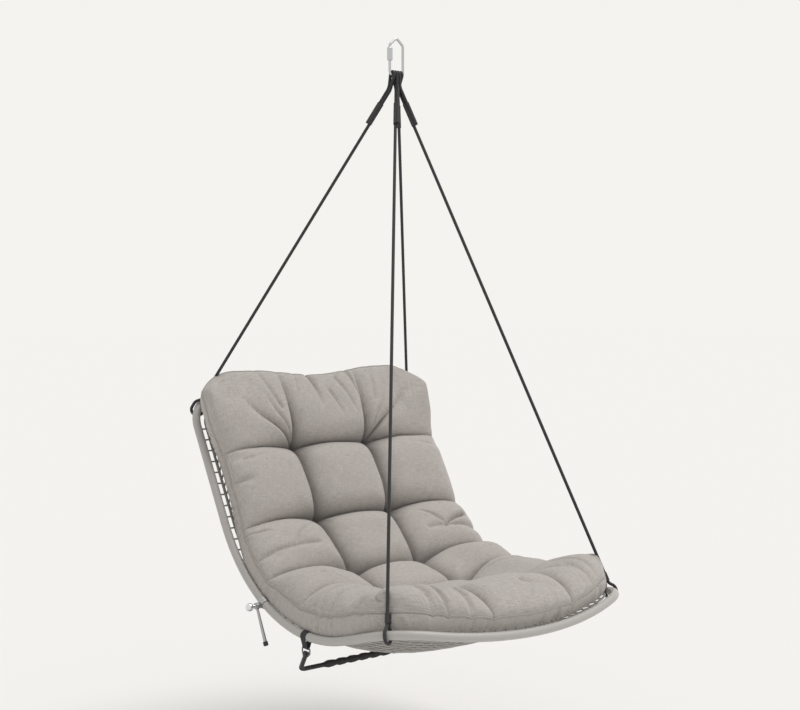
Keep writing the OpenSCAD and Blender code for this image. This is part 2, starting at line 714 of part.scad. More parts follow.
// Places on the surface, as x, s and h
function pad_top(u, v) =
    let (x = u * pad_half, s = pad_s(u, v), r = pad_rim(u, v),
        round = sqrt(1 - (1 - r) * (1 - r)),
        seam = pad_seam + pad_ear * (1 - ease(v * 1600 / 220))
            + 14 * seat_side(x, s) * (1 - ease((s - 1450) / 150)),
        crown = pad_crown + pad_seat_crown * seat_side(x, s))
    [x + reach_x(u, v), s + reach_s(u, v),
        mix(seam, mix(crown, pad_tuft, dent(x, s) * (1 - 0.5 * seat_side(x, s))), round)];
function pad_low(u, v) =
    let (x = u * pad_half, s = pad_s(u, v))
    [x, s, net_thick / 2 + pad_over_net - hang(x, s)];
function pad_side(u, v) =
    let (a = pad_top(u, v), b = pad_low(u, v))
    [mix(b[0], a[0], 0.6), mix(b[1], a[1], 0.6), mix(b[2], a[2], 0.45)];
function laid(q) = laid_at(q[0], q[1], q[2]);
// The rim as one run of grid places, round the cushion
pad_c = pad_cols - 1;
pad_r = pad_rows - 1;
pad_round = 2 * (pad_c + pad_r);
function rim_at(m) = let (n = m % pad_round)
    n < pad_c ? [0, n]
    : n < pad_c + pad_r ? [n - pad_c, pad_c]
    : n < 2 * pad_c + pad_r ? [pad_r, 2 * pad_c + pad_r - n]
    : [pad_round - n, 0];
pad_points = concat(
    [for (v = pad_stops, u = pad_us) laid(pad_top(u, v))],
    [for (v = pad_stops, u = pad_us) laid(pad_low(u, v))],
    [for (n = [0 : pad_round - 1])
        let (q = rim_at(n)) laid(pad_side(pad_us[q[1]], pad_stops[q[0]]))]);
function rim(low, n) = let (q = rim_at(n)) p(low, q[0], q[1]);
function side(n) = 2 * pad_rows * pad_cols + n % pad_round;
function p(low, i, j) = low * pad_rows * pad_cols + i * pad_cols + j;
pad_faces = [
    for (i = [0 : pad_rows - 2], j = [0 : pad_cols - 2])
        each concat(
            quad(p(0, i, j), p(0, i, j + 1), p(0, i + 1, j + 1), p(0, i + 1, j)),
            quad(p(1, i + 1, j), p(1, i + 1, j + 1), p(1, i, j + 1), p(1, i, j))),
    for (n = [0 : pad_round - 1])
        each concat(
            quad(rim(0, n + 1), rim(0, n), side(n), side(n + 1)),
            quad(side(n + 1), side(n), rim(1, n), rim(1, n + 1)))];

module cushion() {
    color(linen)
        polyhedron(points = pad_points, faces = pad_faces);
}

// ---- Foot bar and its straps ----
function knee_point(y) = [-half_width, y,
    knee_centre[2] - sqrt(knee_r * knee_r - pow(y - knee_centre[1], 2))];
function knee_tangent(y) = square_to(unit(knee_point(y) - [-half_width, knee_centre[1],
    knee_centre[2]]), [0, -1, 0]);
strap_p = knee_point(strap_y);
strap_t_dir = knee_tangent(strap_y);
strap_up = unit(cross(strap_t_dir, X));
buckle_wire = 5;
buckle_tall = 22;
buckle_wide = strap_w + 16;
buckle_top = 40;
buckle_low_p = strap_p - (buckle_top + buckle_tall) * strap_up;
bar_v = [-bar_half, strap_y + bar_back, strap_p[2] - bar_depth];
bar_dir = unit(bar_v - buckle_low_p);
bar_turn = angle_of(bar_dir, X);
bar_back_off = bar_corner * tan(bar_turn / 2);
bar_bend_p = bar_v - bar_back_off * bar_dir;
bar_start = buckle_low_p + 8 * bar_dir;

// Outline of a belt round two circles that lie d apart
belt_steps = 16;
function belt(r1, r2, d) =
    let (a = asin((r1 - r2) / d))
    concat(
        [for (k = [0 : belt_steps])
            let (t = -a + k * (180 + 2 * a) / belt_steps) r1 * [cos(t), sin(t)]],
        [for (k = [0 : belt_steps])
            let (t = 180 + a + k * (180 - 2 * a) / belt_steps) [0, -d] + r2 * [cos(t), sin(t)]]);

module strap() {
    r1 = tube_d / 2 + seat_gap + 0.1;
    r2 = buckle_wire / 2 + bead_h + 0.3;
    color(rope_black)
        place(strap_p - strap_w / 2 * strap_t_dir, X, strap_t_dir)
            linear_extrude(strap_w)
                difference() {
                    polygon(belt(r1 + strap_t, r2 + strap_t, buckle_top));
                    polygon(belt(r1, r2, buckle_top));
                }
}

module buckle() {
    w = buckle_wide / 2;
    c = 6;
    color(sleeve_grey)
        multmatrix([[strap_t_dir[0], strap_up[0], X[0], strap_p[0]],
            [strap_t_dir[1], strap_up[1], X[1], strap_p[1]],
            [strap_t_dir[2], strap_up[2], X[2], strap_p[2]], [0, 0, 0, 1]])
            translate([0, -buckle_top, 0]) {
                bar([-w + c, 0, 0], [w - c, 0, 0], buckle_wire);
                bar([-w + c, -buckle_tall, 0], [w - c, -buckle_tall, 0], buckle_wire);
                for (a = [0, 1])
                    mirror([a, 0, 0]) {
                        bend([w - c, 0, 0], [1, 0, 0], [0, -1, 0], c, 90, buckle_wire);
                        bar([w, -c, 0], [w, c - buckle_tall, 0], buckle_wire);
                        bend([w, c - buckle_tall, 0], [0, -1, 0], [-1, 0, 0], c, 90, buckle_wire);
                    }
            }
}

module foot_bar() {
    color(rope_black)
        difference() {
            union() {
                both_sides() {
                    bar(bar_start, bar_bend_p, bar_d);
                    bend(bar_bend_p, bar_dir, square_to(bar_dir, X), bar_corner, bar_turn, bar_d);
                    place(buckle_low_p - 8 * strap_t_dir, X, strap_t_dir)
                        cylinder(h = 16, d = bar_d + 3);
                }
                bar([-bar_half + bar_back_off, bar_v[1], bar_v[2]],
                    [bar_half - bar_back_off, bar_v[1], bar_v[2]], bar_d);
            }
            both_sides()
                place(buckle_low_p - 16 * strap_t_dir, X, strap_t_dir)
                    cylinder(h = 32, r = buckle_wire / 2 + bead_h + 0.2);
        }
}

// Wrapped grip on the bar, with a swelling at each turn of the wrap
grip_half = 400;
grip_turns = 16;
module bar_grip() {
    step = 2 * grip_half / grip_turns;
    r = grip_d / 2;
    bore = bar_d / 2 + 0.2;
    color(rope_black)
        place([-grip_half, bar_v[1], bar_v[2]], Z, X)
            rotate_extrude()
                polygon(concat([[bore, 2 * grip_half], [bore, 0]],
                    [for (i = [0 : grip_turns - 1], f = [[0.1, 0.72], [0.4, 1], [0.75, 0.94]])
                        [r * f[1], (i + f[0]) * step]],
                    [[r * 0.72, 2 * grip_half]]));
}

module strap_left() strap();
module strap_right() mirror(X) strap();
module buckle_left() buckle();
module buckle_right() mirror(X) buckle();

// ---- Rest legs ----
clamp_p = knee_point(leg_y);
leg_t_dir = knee_tangent(leg_y);
leg_p = clamp_p - leg_drop * unit(cross(leg_t_dir, X));
clamp_wall = 3.5;
boss_d = 19;
boss_out = tube_d / 2 + clamp_wall + 4;
eye_w = 10;
eye_d = 24;
eye_in = boss_out + 0.4;
knob_in = eye_in + eye_w + 0.4;
knob_neck = 11;
stud_d = 6;
leg_dir = [0, -sin(leg_lean), -cos(leg_lean)];

// Places a shape drawn along Z at the leg pivot, with Z pointing outwards from the rail
module at_pivot(out) {
    place(leg_p - out * X, [0, 1, 0], -X)
        children();
}

module leg_clamp() {
    color(steel)
        difference() {
            union() {
                place(clamp_p - clamp_w / 2 * leg_t_dir, X, leg_t_dir)
                    cylinder(h = clamp_w, r = tube_d / 2 + clamp_wall);
                at_pivot(4)
                    cylinder(h = boss_out - 4, d = boss_d);
            }
            place(clamp_p - clamp_w * leg_t_dir, X, leg_t_dir)
                cylinder(h = 2 * clamp_w, r = tube_d / 2 + seat_gap);
            at_pivot(tube_d / 2 + 2)
                cylinder(h = boss_out, d = spindle_d + 2 * pivot_gap);
        }
}

module clamp_screw() {
    w = unit(X + unit(cross(X, leg_t_dir)) * -1);
    color(sleeve_grey)
        place(clamp_p + (tube_d / 2 + clamp_wall + 0.1) * w, leg_t_dir, w)
            difference() {
                cylinder(h = 4, d = 8);
                translate([0, 0, 2])
                    cylinder(h = 3, d = 4, $fn = 6);
            }
}

module leg_spindle() {
    color(steel) {
        at_pivot(tube_d / 2 + 2.2)
            cylinder(h = knob_in - tube_d / 2 - 2.6, d = spindle_d);
        at_pivot(tube_d / 2 + 2.6)
            cylinder(h = knob_in + knob_neck + 6 - tube_d / 2 - 2.6, d = stud_d);
    }
}

module rest_leg() {
    color(steel)
        difference() {
            union() {
                at_pivot(eye_in)
                    cylinder(h = eye_w, d = eye_d);
                place(leg_p - (eye_in + eye_w / 2) * X + 8 * leg_dir, X, leg_dir)
                    cylinder(h = leg_length - 11, d1 = leg_top_d, d2 = leg_tip_d);
            }
            at_pivot(eye_in - 1)
                cylinder(h = eye_w + 2, d = spindle_d + 2 * pivot_gap);
        }
}

// Rubber foot over the last stretch of a leg
foot_cover = 12;
foot_wall = 2;
module leg_foot() {
    r = leg_tip_d / 2 + 0.1;
    color(rope_black)
        place(leg_p - (eye_in + eye_w / 2) * X + (leg_length - 3 - foot_cover) * leg_dir, X, leg_dir)
            rotate_extrude()
                polygon([[r, 0], [r + foot_wall, 0], [r + foot_wall, foot_cover + 1],
                    [r + foot_wall - 2, foot_cover + 3], [0, foot_cover + 3],
                    [0, foot_cover + 0.1], [r, foot_cover + 0.1]]);
}

module leg_knob() {
    color(steel)
        at_pivot(knob_in)
            rotate_extrude()
                difference() {
                    intersection() {
                        union() {
                            translate([0, knob_neck + ball_d / 2 - 1])
                                circle(d = ball_d);
                            square([7, knob_neck + 3]);
                        }
                        square([ball_d, knob_neck + ball_d]);
                    }
                    translate([-1, -1])
                        square([stud_d / 2 + pivot_gap + 1, knob_neck + 8]);
                }
}

module leg_clamp_left() leg_clamp();
module leg_clamp_right() mirror(X) leg_clamp();
module clamp_screw_left() clamp_screw();
module clamp_screw_right() mirror(X) clamp_screw();
module leg_spindle_left() leg_spindle();
module leg_spindle_right() mirror(X) leg_spindle();
module rest_leg_left() rest_leg();
module rest_leg_right() mirror(X) rest_leg();
module leg_foot_left() leg_foot();
module leg_foot_right() mirror(X) leg_foot();
module leg_knob_left() leg_knob();
module leg_knob_right() mirror(X) leg_knob();

quick_link();
link_nut();
rope_back_left();
rope_back_right();
rope_front_left();
rope_front_right();
splice_back_left();
splice_back_right();
splice_front_left();
splice_front_right();
collar_back_left();
collar_back_right();
collar_front_left();
collar_front_right();
frame_tube();
net_edge_cord();
net_lacing();
net();
cushion();
foot_bar();
bar_grip();
strap_left();
strap_right();
buckle_left();
buckle_right();
leg_clamp_left();
leg_clamp_right();
clamp_screw_left();
clamp_screw_right();
leg_spindle_left();
leg_spindle_right();
rest_leg_left();
rest_leg_right();
leg_foot_left();
leg_foot_right();
leg_knob_left();
leg_knob_right();
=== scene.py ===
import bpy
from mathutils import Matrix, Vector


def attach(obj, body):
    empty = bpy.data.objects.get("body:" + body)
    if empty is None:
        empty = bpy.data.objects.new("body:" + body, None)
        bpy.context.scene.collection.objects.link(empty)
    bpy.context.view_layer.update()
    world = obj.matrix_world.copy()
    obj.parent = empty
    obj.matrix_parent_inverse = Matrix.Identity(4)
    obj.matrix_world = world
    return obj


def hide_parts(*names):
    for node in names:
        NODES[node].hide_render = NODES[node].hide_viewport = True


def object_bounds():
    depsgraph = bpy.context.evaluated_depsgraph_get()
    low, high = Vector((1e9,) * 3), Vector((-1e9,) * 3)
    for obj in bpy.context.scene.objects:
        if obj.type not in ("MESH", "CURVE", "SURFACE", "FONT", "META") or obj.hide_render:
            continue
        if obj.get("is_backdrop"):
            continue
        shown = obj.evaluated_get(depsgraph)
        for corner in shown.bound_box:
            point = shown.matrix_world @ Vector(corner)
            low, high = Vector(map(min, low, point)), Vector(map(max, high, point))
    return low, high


bl_info = {
    "name": "Hanging Swing Bed",
    "version": (1, 0, 0),
    "blender": (4, 5, 0),
    "location": "View3D > Sidebar > Swing",
    "description": "Dresses a hanging lounge swing with its cushion, net, ropes and hardware finishes",
    "category": "Object",
}

from math import acos, atan2, ceil, cos, pi, radians, sin, sqrt

import bmesh
import bpy
import numpy as np
from mathutils import Vector

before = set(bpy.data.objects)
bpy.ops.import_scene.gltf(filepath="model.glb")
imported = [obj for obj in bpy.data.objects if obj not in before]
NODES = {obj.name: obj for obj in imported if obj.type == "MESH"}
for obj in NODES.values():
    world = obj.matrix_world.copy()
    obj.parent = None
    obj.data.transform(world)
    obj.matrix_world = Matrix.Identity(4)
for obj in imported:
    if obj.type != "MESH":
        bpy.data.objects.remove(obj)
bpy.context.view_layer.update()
SIDES = {"left": 1, "right": -1}  # what a left piece's x is times on each side


# ---- The ring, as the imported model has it, in metres and radians ----

X = np.array((1.0, 0.0, 0.0))
UP = np.array((0.0, 0.0, 1.0))
DROP = 0.126  # hang point to the middle of the link's lower wire
HALF = 0.540  # half the ring's width, at the middle of its tube
LEAN, RISE = radians(28.4), radians(15.5)  # of the back from upright, and of the seat from level
KNEE_R = 0.613  # of the bend from the back to the seat
BACK_R, BACK_BOW = 0.120, radians(12)  # of the top corners, and half the angle that the top bow spans
FRONT_R, FRONT_BOW, FRONT_DIP = 0.166, radians(19.8), radians(27.5)  # the same, and how far its bow dips
SEAT_LENGTH, BACK_LENGTH = 0.147, 0.388  # straight parts of the rails
EDGE_INSET, EDGE_D = 0.036, 0.008  # the net's edge cord: from the tube's middle to its own, and its thickness


def unit(v):
    v = np.asarray(v, float)
    return v / np.linalg.norm(v)


def square_to(t, b):
    """The direction nearest to b that is square to t."""
    return unit(b - np.dot(b, t) * t)


def turn(p, t, e, r, ang):
    """End of a bend that starts at p along t and turns towards e."""
    return p + r * sin(ang) * t + r * (1 - cos(ang)) * e


DOWN_BACK = np.array((0.0, -sin(LEAN), -cos(LEAN)))
UP_SEAT = np.array((0.0, -cos(RISE), sin(RISE)))
DOWN_FRONT = np.array((0.0, -cos(FRONT_DIP), -sin(FRONT_DIP)))
BACK_NORMAL = np.array((0.0, -cos(LEAN), sin(LEAN)))
SEAT_NORMAL = np.array((0.0, sin(RISE), cos(RISE)))
TOP_MID = np.array((0.0, 0.589, -DROP - 1.151))
KNEE_ANGLE = acos(float(DOWN_BACK @ UP_SEAT))
CORNER_OUT = sin(FRONT_BOW) * DOWN_FRONT + cos(FRONT_BOW) * X
CORNER_ANGLE = acos(float(UP_SEAT @ CORNER_OUT))
CORNER_IN = square_to(UP_SEAT, CORNER_OUT)
TOP_TURN = -cos(BACK_BOW) * X + sin(BACK_BOW) * DOWN_BACK
TOP_SIDE = sin(BACK_BOW) * X + cos(BACK_BOW) * DOWN_BACK

# The outline of the ring at an inset i from the middle of its tube: top bow, left rail and front bow


def top_half(i):
    return HALF - BACK_R + (BACK_R - i) * sin(BACK_BOW)


def top_r(i):
    return top_half(i) / sin(BACK_BOW)


def top_end(i):
    return TOP_MID + i * DOWN_BACK + top_r(i) * (1 - cos(BACK_BOW)) * DOWN_BACK - top_half(i) * X


def rail_top(i):
    return turn(top_end(i), TOP_TURN, TOP_SIDE, BACK_R - i, pi / 2 - BACK_BOW)


RAIL_TOP_S = float((rail_top(0) - TOP_MID) @ DOWN_BACK)
KNEE_S = RAIL_TOP_S + BACK_LENGTH
SEAT_S = KNEE_S + KNEE_R * KNEE_ANGLE
FRONT_S = SEAT_S + SEAT_LENGTH


def rail_knee(i):
    return rail_top(i) + (BACK_LENGTH + float((rail_top(0) - rail_top(i)) @ DOWN_BACK)) * DOWN_BACK


def rail_front(i):
    return turn(rail_knee(i), DOWN_BACK, BACK_NORMAL, KNEE_R, KNEE_ANGLE) + SEAT_LENGTH * UP_SEAT


def front_end(i):
    return turn(rail_front(i), UP_SEAT, CORNER_IN, FRONT_R - i, CORNER_ANGLE)


def front_r(i):
    return -front_end(i)[0] / sin(FRONT_BOW)


KNEE_CENTRE = (rail_knee(0) + KNEE_R * BACK_NORMAL) * (0, 1, 1)
SEAT_START = turn(rail_knee(0), DOWN_BACK, BACK_NORMAL, KNEE_R, KNEE_ANGLE) * (0, 1, 1)


def rail_normal(s):
    s = np.asarray(s, float)[..., None]
    a = LEAN + (s - KNEE_S) / KNEE_R
    knee = np.concatenate((0 * s, -np.cos(a), np.sin(a)), -1)
    return np.where(s < KNEE_S, BACK_NORMAL, np.where(s < SEAT_S, knee, SEAT_NORMAL))


def rail_at(s):
    """Middle line of the ring's plane at s down the back and forward along the seat, for arrays of s."""
    knee = KNEE_CENTRE - KNEE_R * rail_normal(s)
    s = np.asarray(s, float)[..., None]
    seat = SEAT_START + (s - SEAT_S) * UP_SEAT
    return np.where(s < KNEE_S, TOP_MID + s * DOWN_BACK, np.where(s < SEAT_S, knee, seat))


NET_INSET = EDGE_INSET + EDGE_D / 2 + 0.001
NET_HALF = HALF - NET_INSET
HANG_BACK, HANG_SEAT = 0.038, 0.092  # how deep the net hangs in the back and in the seat
PAD_INSET = 0.049
PAD_HALF = HALF - PAD_INSET
PAD_SHORT = 0.006  # how far the cushion ends before the front edge, past its inset
PAD_OVER_NET = 0.007  # its underside above the net's surface
PAD_RUN = 1.6  # the cushion's length as far as its rim distances go
SEAT_EDGE = rail_at(FRONT_S)


def front_at(x):
    """Front edge of the net at x, an array."""
    r = front_r(NET_INSET)
    centre = front_end(NET_INSET) + r * (sin(FRONT_BOW) * X - cos(FRONT_BOW) * DOWN_FRONT)
    bow = centre + x[..., None] * X + np.sqrt(np.maximum(r * r - x * x, 0))[..., None] * DOWN_FRONT
    rc = FRONT_R - NET_INSET
    a = np.arccos(np.clip(1 - (NET_HALF - np.abs(x)) / (rc * CORNER_IN[0]), -1, 1))[..., None]
    corner = rail_front(NET_INSET) + rc * np.sin(a) * UP_SEAT + rc * (1 - np.cos(a)) * CORNER_IN
    corner = np.concatenate((x[..., None], corner[..., 1:]), -1)
    return np.where((np.abs(x) <= -front_end(NET_INSET)[0])[..., None], bow, corner)


def front_length(x):
    """Distance from the seat's end to the front edge at x; never 0, as it is divided by."""
    return np.maximum(0.0005, np.linalg.norm(front_at(x) - SEAT_EDGE - x[..., None] * X, axis=-1))


def top_at(x, i):
    """Distance of the top edge from the top bow's middle, at an inset i."""
    c = np.abs(x) - HALF + BACK_R
    r = BACK_R - i
    bow = i + top_r(i) - np.sqrt(np.maximum(top_r(i) ** 2 - x * x, 0))
    corner = RAIL_TOP_S - np.sqrt(np.maximum(0, r * r - c * c))
    return np.where(np.abs(x) <= top_half(i), bow, corner)


def net_end(x):
    return FRONT_S + front_length(x)


def laid_at(x, s, h):
    """Point at x across, s along and h above the ring's curved plane, for arrays."""
    x, s, h = np.broadcast_arrays(*(np.asarray(a, float) for a in (x, s, h)))
    main = x[..., None] * X + rail_at(s) + h[..., None] * rail_normal(s)
    # From the seat's end to the front edge the plane bends down along a parabola
    f = front_length(x)
    t = np.clip((s - FRONT_S) / f, 0, 1)[..., None]
    f = f[..., None]
    start = SEAT_EDGE + x[..., None] * X
    pull = start + 0.5 * f * UP_SEAT
    end = front_at(x)
    p = (1 - t) ** 2 * start + 2 * t * (1 - t) * pull + t * t * end
    way = 2 * (1 - t) * (pull - start) + 2 * t * (end - pull)
    way /= np.linalg.norm(way, axis=-1, keepdims=True)
    v = UP_SEAT + (way - UP_SEAT) * np.clip(f / 0.05, 0, 1)
    v /= np.linalg.norm(v, axis=-1, keepdims=True)
    n = np.stack((0 * v[..., 0], v[..., 2], -v[..., 1]), -1)
    n /= np.linalg.norm(n, axis=-1, keepdims=True)
    p = p + np.maximum(0, s[..., None] - FRONT_S - f) * v
    return np.where((s <= FRONT_S)[..., None], main, p + h[..., None] * n)


def rise(a, start, end):
    """Smooth step from 0 at start to 1 at end."""
    t = np.clip((a - start) / (end - start), 0, 1)
    return t * t * (3 - 2 * t)


def fall(a, start, end):
    return 1 - rise(a, start, end)


def fade(distance, width):
    """1 at the rim, 0 from width on."""
    return 1 - np.clip(distance / width, 0, 1)


def hang(x, s):
    """How far the net hangs below the ring's plane."""
    u = np.minimum(1, np.abs(x) / NET_HALF)
    xe = np.clip(x, -NET_HALF, NET_HALF)
    t0 = top_at(xe, NET_INSET)
    v = np.clip((s - t0) / (net_end(xe) - t0), 0, 1)
    deep = HANG_BACK + (HANG_SEAT - HANG_BACK) * rise(s, KNEE_S - 0.1, KNEE_S + 0.3)
    return deep * (1 - u**3) * (1 - np.abs(2 * v - 1) ** 8)


# ---- Mesh helpers ----


def make_piece(name, bm, material, body, stands_for=()):
    """Turns a bmesh into a finished piece that rides on a body."""
    mesh = bpy.data.meshes.new(name)
    bm.to_mesh(mesh)
    bm.free()
    mesh.materials.append(material)
    mesh.shade_smooth()
    piece = bpy.data.objects.new(name, mesh)
    bpy.context.scene.collection.objects.link(piece)
    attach(piece, body)
    if stands_for:
        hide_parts(*stands_for)
    return piece


def flat_grid(name, rows, columns):
    """A flat grid with its UV map, and where its corners lie along its rows and columns, from 0 to 1."""
    bm = bmesh.new()
    bm.loops.layers.uv.new("UVMap")
    bmesh.ops.create_grid(bm, x_segments=rows - 1, y_segments=columns - 1, size=0.5, calc_uvs=True)
    mesh = bpy.data.meshes.new(name)
    bm.to_mesh(mesh)
    bm.free()
    co = np.empty(len(mesh.vertices) * 3)
    mesh.vertices.foreach_get("co", co)
    co = co.reshape(-1, 3) + 0.5
    v, u = (np.rint(co[:, k] * (n - 1)) / (n - 1) for k, n in ((0, rows), (1, columns)))
    return mesh, v, u


def grid_mesh(name, rows, columns, place, uv_size):
    """A grid whose corners are moved by place(v, u), with v and u from 0 to 1 along rows and columns."""
    mesh, v, u = flat_grid(name, rows, columns)
    mesh.vertices.foreach_set("co", place(v, u).ravel())
    uv = np.empty(len(mesh.loops) * 2)
    mesh.uv_layers[0].data.foreach_get("uv", uv)
    uv = uv.reshape(-1, 2) * np.array(uv_size)
    mesh.uv_layers[0].data.foreach_set("uv", uv.ravel())
    return mesh


def distance_along(path):
    """Distance from the start of a path to each of its points."""
    return np.concatenate(([0], np.cumsum(np.linalg.norm(np.diff(path, axis=0), axis=1))))


def even_path(points, step):
    """The same path with evenly spaced points."""
    p = np.asarray(points, float)
    d = distance_along(p)
    keep = np.concatenate(([True], np.diff(d) > 1e-7))
    p, d = p[keep], d[keep]
    at = np.linspace(0, d[-1], max(2, int(ceil(d[-1] / step)) + 1))
    return np.stack([np.interp(at, d, p[:, k]) for k in range(3)], 1)


def carried_normals(t):
    """Two normals at each tangent, which turn as little as they can from one point to the next."""
    a = np.empty_like(t)
    a[0] = square_to(t[0], UP if abs(t[0][2]) < 0.9 else X)
    for k in range(1, len(t)):
        a[k] = square_to(t[k], a[k - 1])
    return a, np.cross(t, a)


def add_tube(bm, path, radius, sides, closed=False):
    """Adds a tube along a path to bm; the UV map runs in metres along and once around."""
    path = np.asarray(path, float)
    if closed:
        path = np.vstack((path, path[:1]))
        t = np.gradient(np.vstack((path[-2], path, path[1])), axis=0)[1:-1]
    else:
        t = np.gradient(path, axis=0)
    t /= np.linalg.norm(t, axis=1, keepdims=True)
    a, b = carried_normals(t)
    n = len(path)
    if closed:
        # The normals come round turned by an angle, which each point takes its share of
        slip = atan2(float(a[-1] @ b[0]), float(a[-1] @ a[0]))
        for k in range(n):
            w = -slip * k / (n - 1)
            a[k], b[k] = cos(w) * a[k] + sin(w) * b[k], cos(w) * b[k] - sin(w) * a[k]

    def place(v, u):
        k = np.clip(np.rint(v * (n - 1)).astype(int), 0, n - 1)
        w = (2 * pi * u)[:, None]
        return path[k] + radius * (np.cos(w) * a[k] + np.sin(w) * b[k])

    mesh = grid_mesh("tube", n, sides + 1, place, (distance_along(path)[-1], 1))
    part = bmesh.new()
    part.from_mesh(mesh)
    bmesh.ops.remove_doubles(part, verts=part.verts, dist=1e-6)
    if not closed:
        rim = [e for e in part.edges if e.is_boundary]
        bmesh.ops.holes_fill(part, edges=rim, sides=0)
    bmesh.ops.recalc_face_normals(part, faces=part.faces)
    part.to_mesh(mesh)
    part.free()
    bm.from_mesh(mesh)
    bpy.data.meshes.remove(mesh)


def arc(p, t, e, r, ang, n=24):
    """Points of a bend that starts at p along t and turns towards e."""
    w = np.linspace(0, ang, n)[:, None]
    return p + r * np.sin(w) * t + r * (1 - np.cos(w)) * e


# ---- Material helpers ----

FLOAT, COLOUR, VECTOR = "NodeSocketFloat", "NodeSocketColor", "NodeSocketVector"


def feed(tree, socket, value):
    """Links a socket to another one, or sets its value."""
    if isinstance(value, bpy.types.NodeSocket):
        tree.links.new(value, socket)
    else:
        socket.default_value = value


def add_node(tree, kind, values=None, **settings):
    node = tree.nodes.new(kind)
    for key, value in settings.items():
        setattr(node, key, value)
    for key, value in (values or {}).items():
        feed(tree, node.inputs[key], value)
    return node


def maths(tree, operation, a, b=0.0, c=0.0, clamp=False):
    node = add_node(tree, "ShaderNodeMath", {0: a, 1: b, 2: c}, operation=operation, use_clamp=clamp)
    return node.outputs[0]


def vector_maths(tree, operation, values):
    return add_node(tree, "ShaderNodeVectorMath", values, operation=operation).outputs[0]


def noise(tree, vector, scale, detail, rough=0.5):
    values = {"Vector": vector, "Scale": scale, "Detail": detail, "Roughness": rough}
    return add_node(tree, "ShaderNodeTexNoise", values).outputs[0]


def mix_colours(tree, factor, a, b):
    return add_node(tree, "ShaderNodeMix", {0: factor, 6: a, 7: b}, data_type="RGBA").outputs[2]


def stops(tree, factor, *marks):
    """Colour ramp with (position, value) marks, as a grey mask."""
    node = add_node(tree, "ShaderNodeValToRGB", {0: factor})
    ramp = node.color_ramp
    while len(ramp.elements) < len(marks):
        ramp.elements.new(0.5)
    for element, (at, value) in zip(ramp.elements, marks):
        element.position = at
        element.color = (value, value, value, 1)
    return node.outputs[0]


def bump(tree, strength, distance, height):
    return add_node(tree, "ShaderNodeBump", {"Strength": strength, "Distance": distance, "Height": height}).outputs[0]


def new_group(name, ins, outs):
    tree = bpy.data.node_groups.new(name, "ShaderNodeTree")
    for label, kind, value in ins:
        socket = tree.interface.new_socket(name=label, in_out="INPUT", socket_type=kind)
        if value is not None:
            socket.default_value = value
    for label, kind in outs:
        tree.interface.new_socket(name=label, in_out="OUTPUT", socket_type=kind)
    return tree, tree.nodes.new("NodeGroupInput").outputs, tree.nodes.new("NodeGroupOutput").inputs


def use_group(tree, name, values):
    return add_node(tree, "ShaderNodeGroup", values, node_tree=bpy.data.node_groups[name]).outputs


def new_material(name):
    material = bpy.data.materials.new(name)
    material.use_nodes = True
    tree = material.node_tree
    tree.nodes.clear()
    out = tree.nodes.new("ShaderNodeOutputMaterial")
    shader = tree.nodes.new("ShaderNodeBsdfPrincipled")
    tree.links.new(shader.outputs[0], out.inputs[0])
    return material, tree, shader


def wire(tree, shader, **inputs):
    """Links or sets the shader's inputs, with _ for the spaces in their names."""
    for key, value in inputs.items():
        feed(tree, shader.inputs[key.replace("_", " ")], value)


def rgba(colour, k=1.0):
    return (colour[0] * k, colour[1] * k, colour[2] * k, 1.0)


# ---- Effects that several finishes share ----


def build_weave():
    """Woven cloth: two crossed sets of uneven threads."""
    tree, given, out = new_group(
        "Woven Threads",
        [("Vector", VECTOR, None), ("Pitch", FLOAT, 0.0016), ("Light", COLOUR, (0.6, 0.6, 0.6, 1)),
         ("Dark", COLOUR, (0.4, 0.4, 0.4, 1)), ("Relief", FLOAT, 0.3)],
        [("Color", COLOUR), ("Normal", VECTOR)],
    )
    per_metre = maths(tree, "DIVIDE", 1.0, given["Pitch"])
    threads = []
    for stretch in ((0.06, 1.0, 1.0), (1.0, 0.06, 1.0)):
        drawn = vector_maths(tree, "MULTIPLY", {0: given["Vector"], 1: stretch})
        drawn = vector_maths(tree, "SCALE", {0: drawn, "Scale": per_metre})
        threads.append(noise(tree, drawn, 0.9, 2.0, 0.6))
    sep = add_node(tree, "ShaderNodeSeparateXYZ", {0: given["Vector"]})
    waves = []
    for axis in (0, 1):
        phase = maths(tree, "MULTIPLY", maths(tree, "MULTIPLY", sep.outputs[axis], per_metre), pi)
        waves.append(maths(tree, "SINE", phase))
    both = maths(tree, "ADD", *threads)
    tone = stops(tree, maths(tree, "MULTIPLY", both, 0.5), (0.36, 0.0), (0.64, 1.0))
    feed(tree, out["Color"], mix_colours(tree, tone, given["Dark"], given["Light"]))
    height = maths(tree, "MULTIPLY_ADD", maths(tree, "MULTIPLY", *waves), 0.4, both)
    feed(tree, out["Normal"], bump(tree, given["Relief"], 0.0006, height))


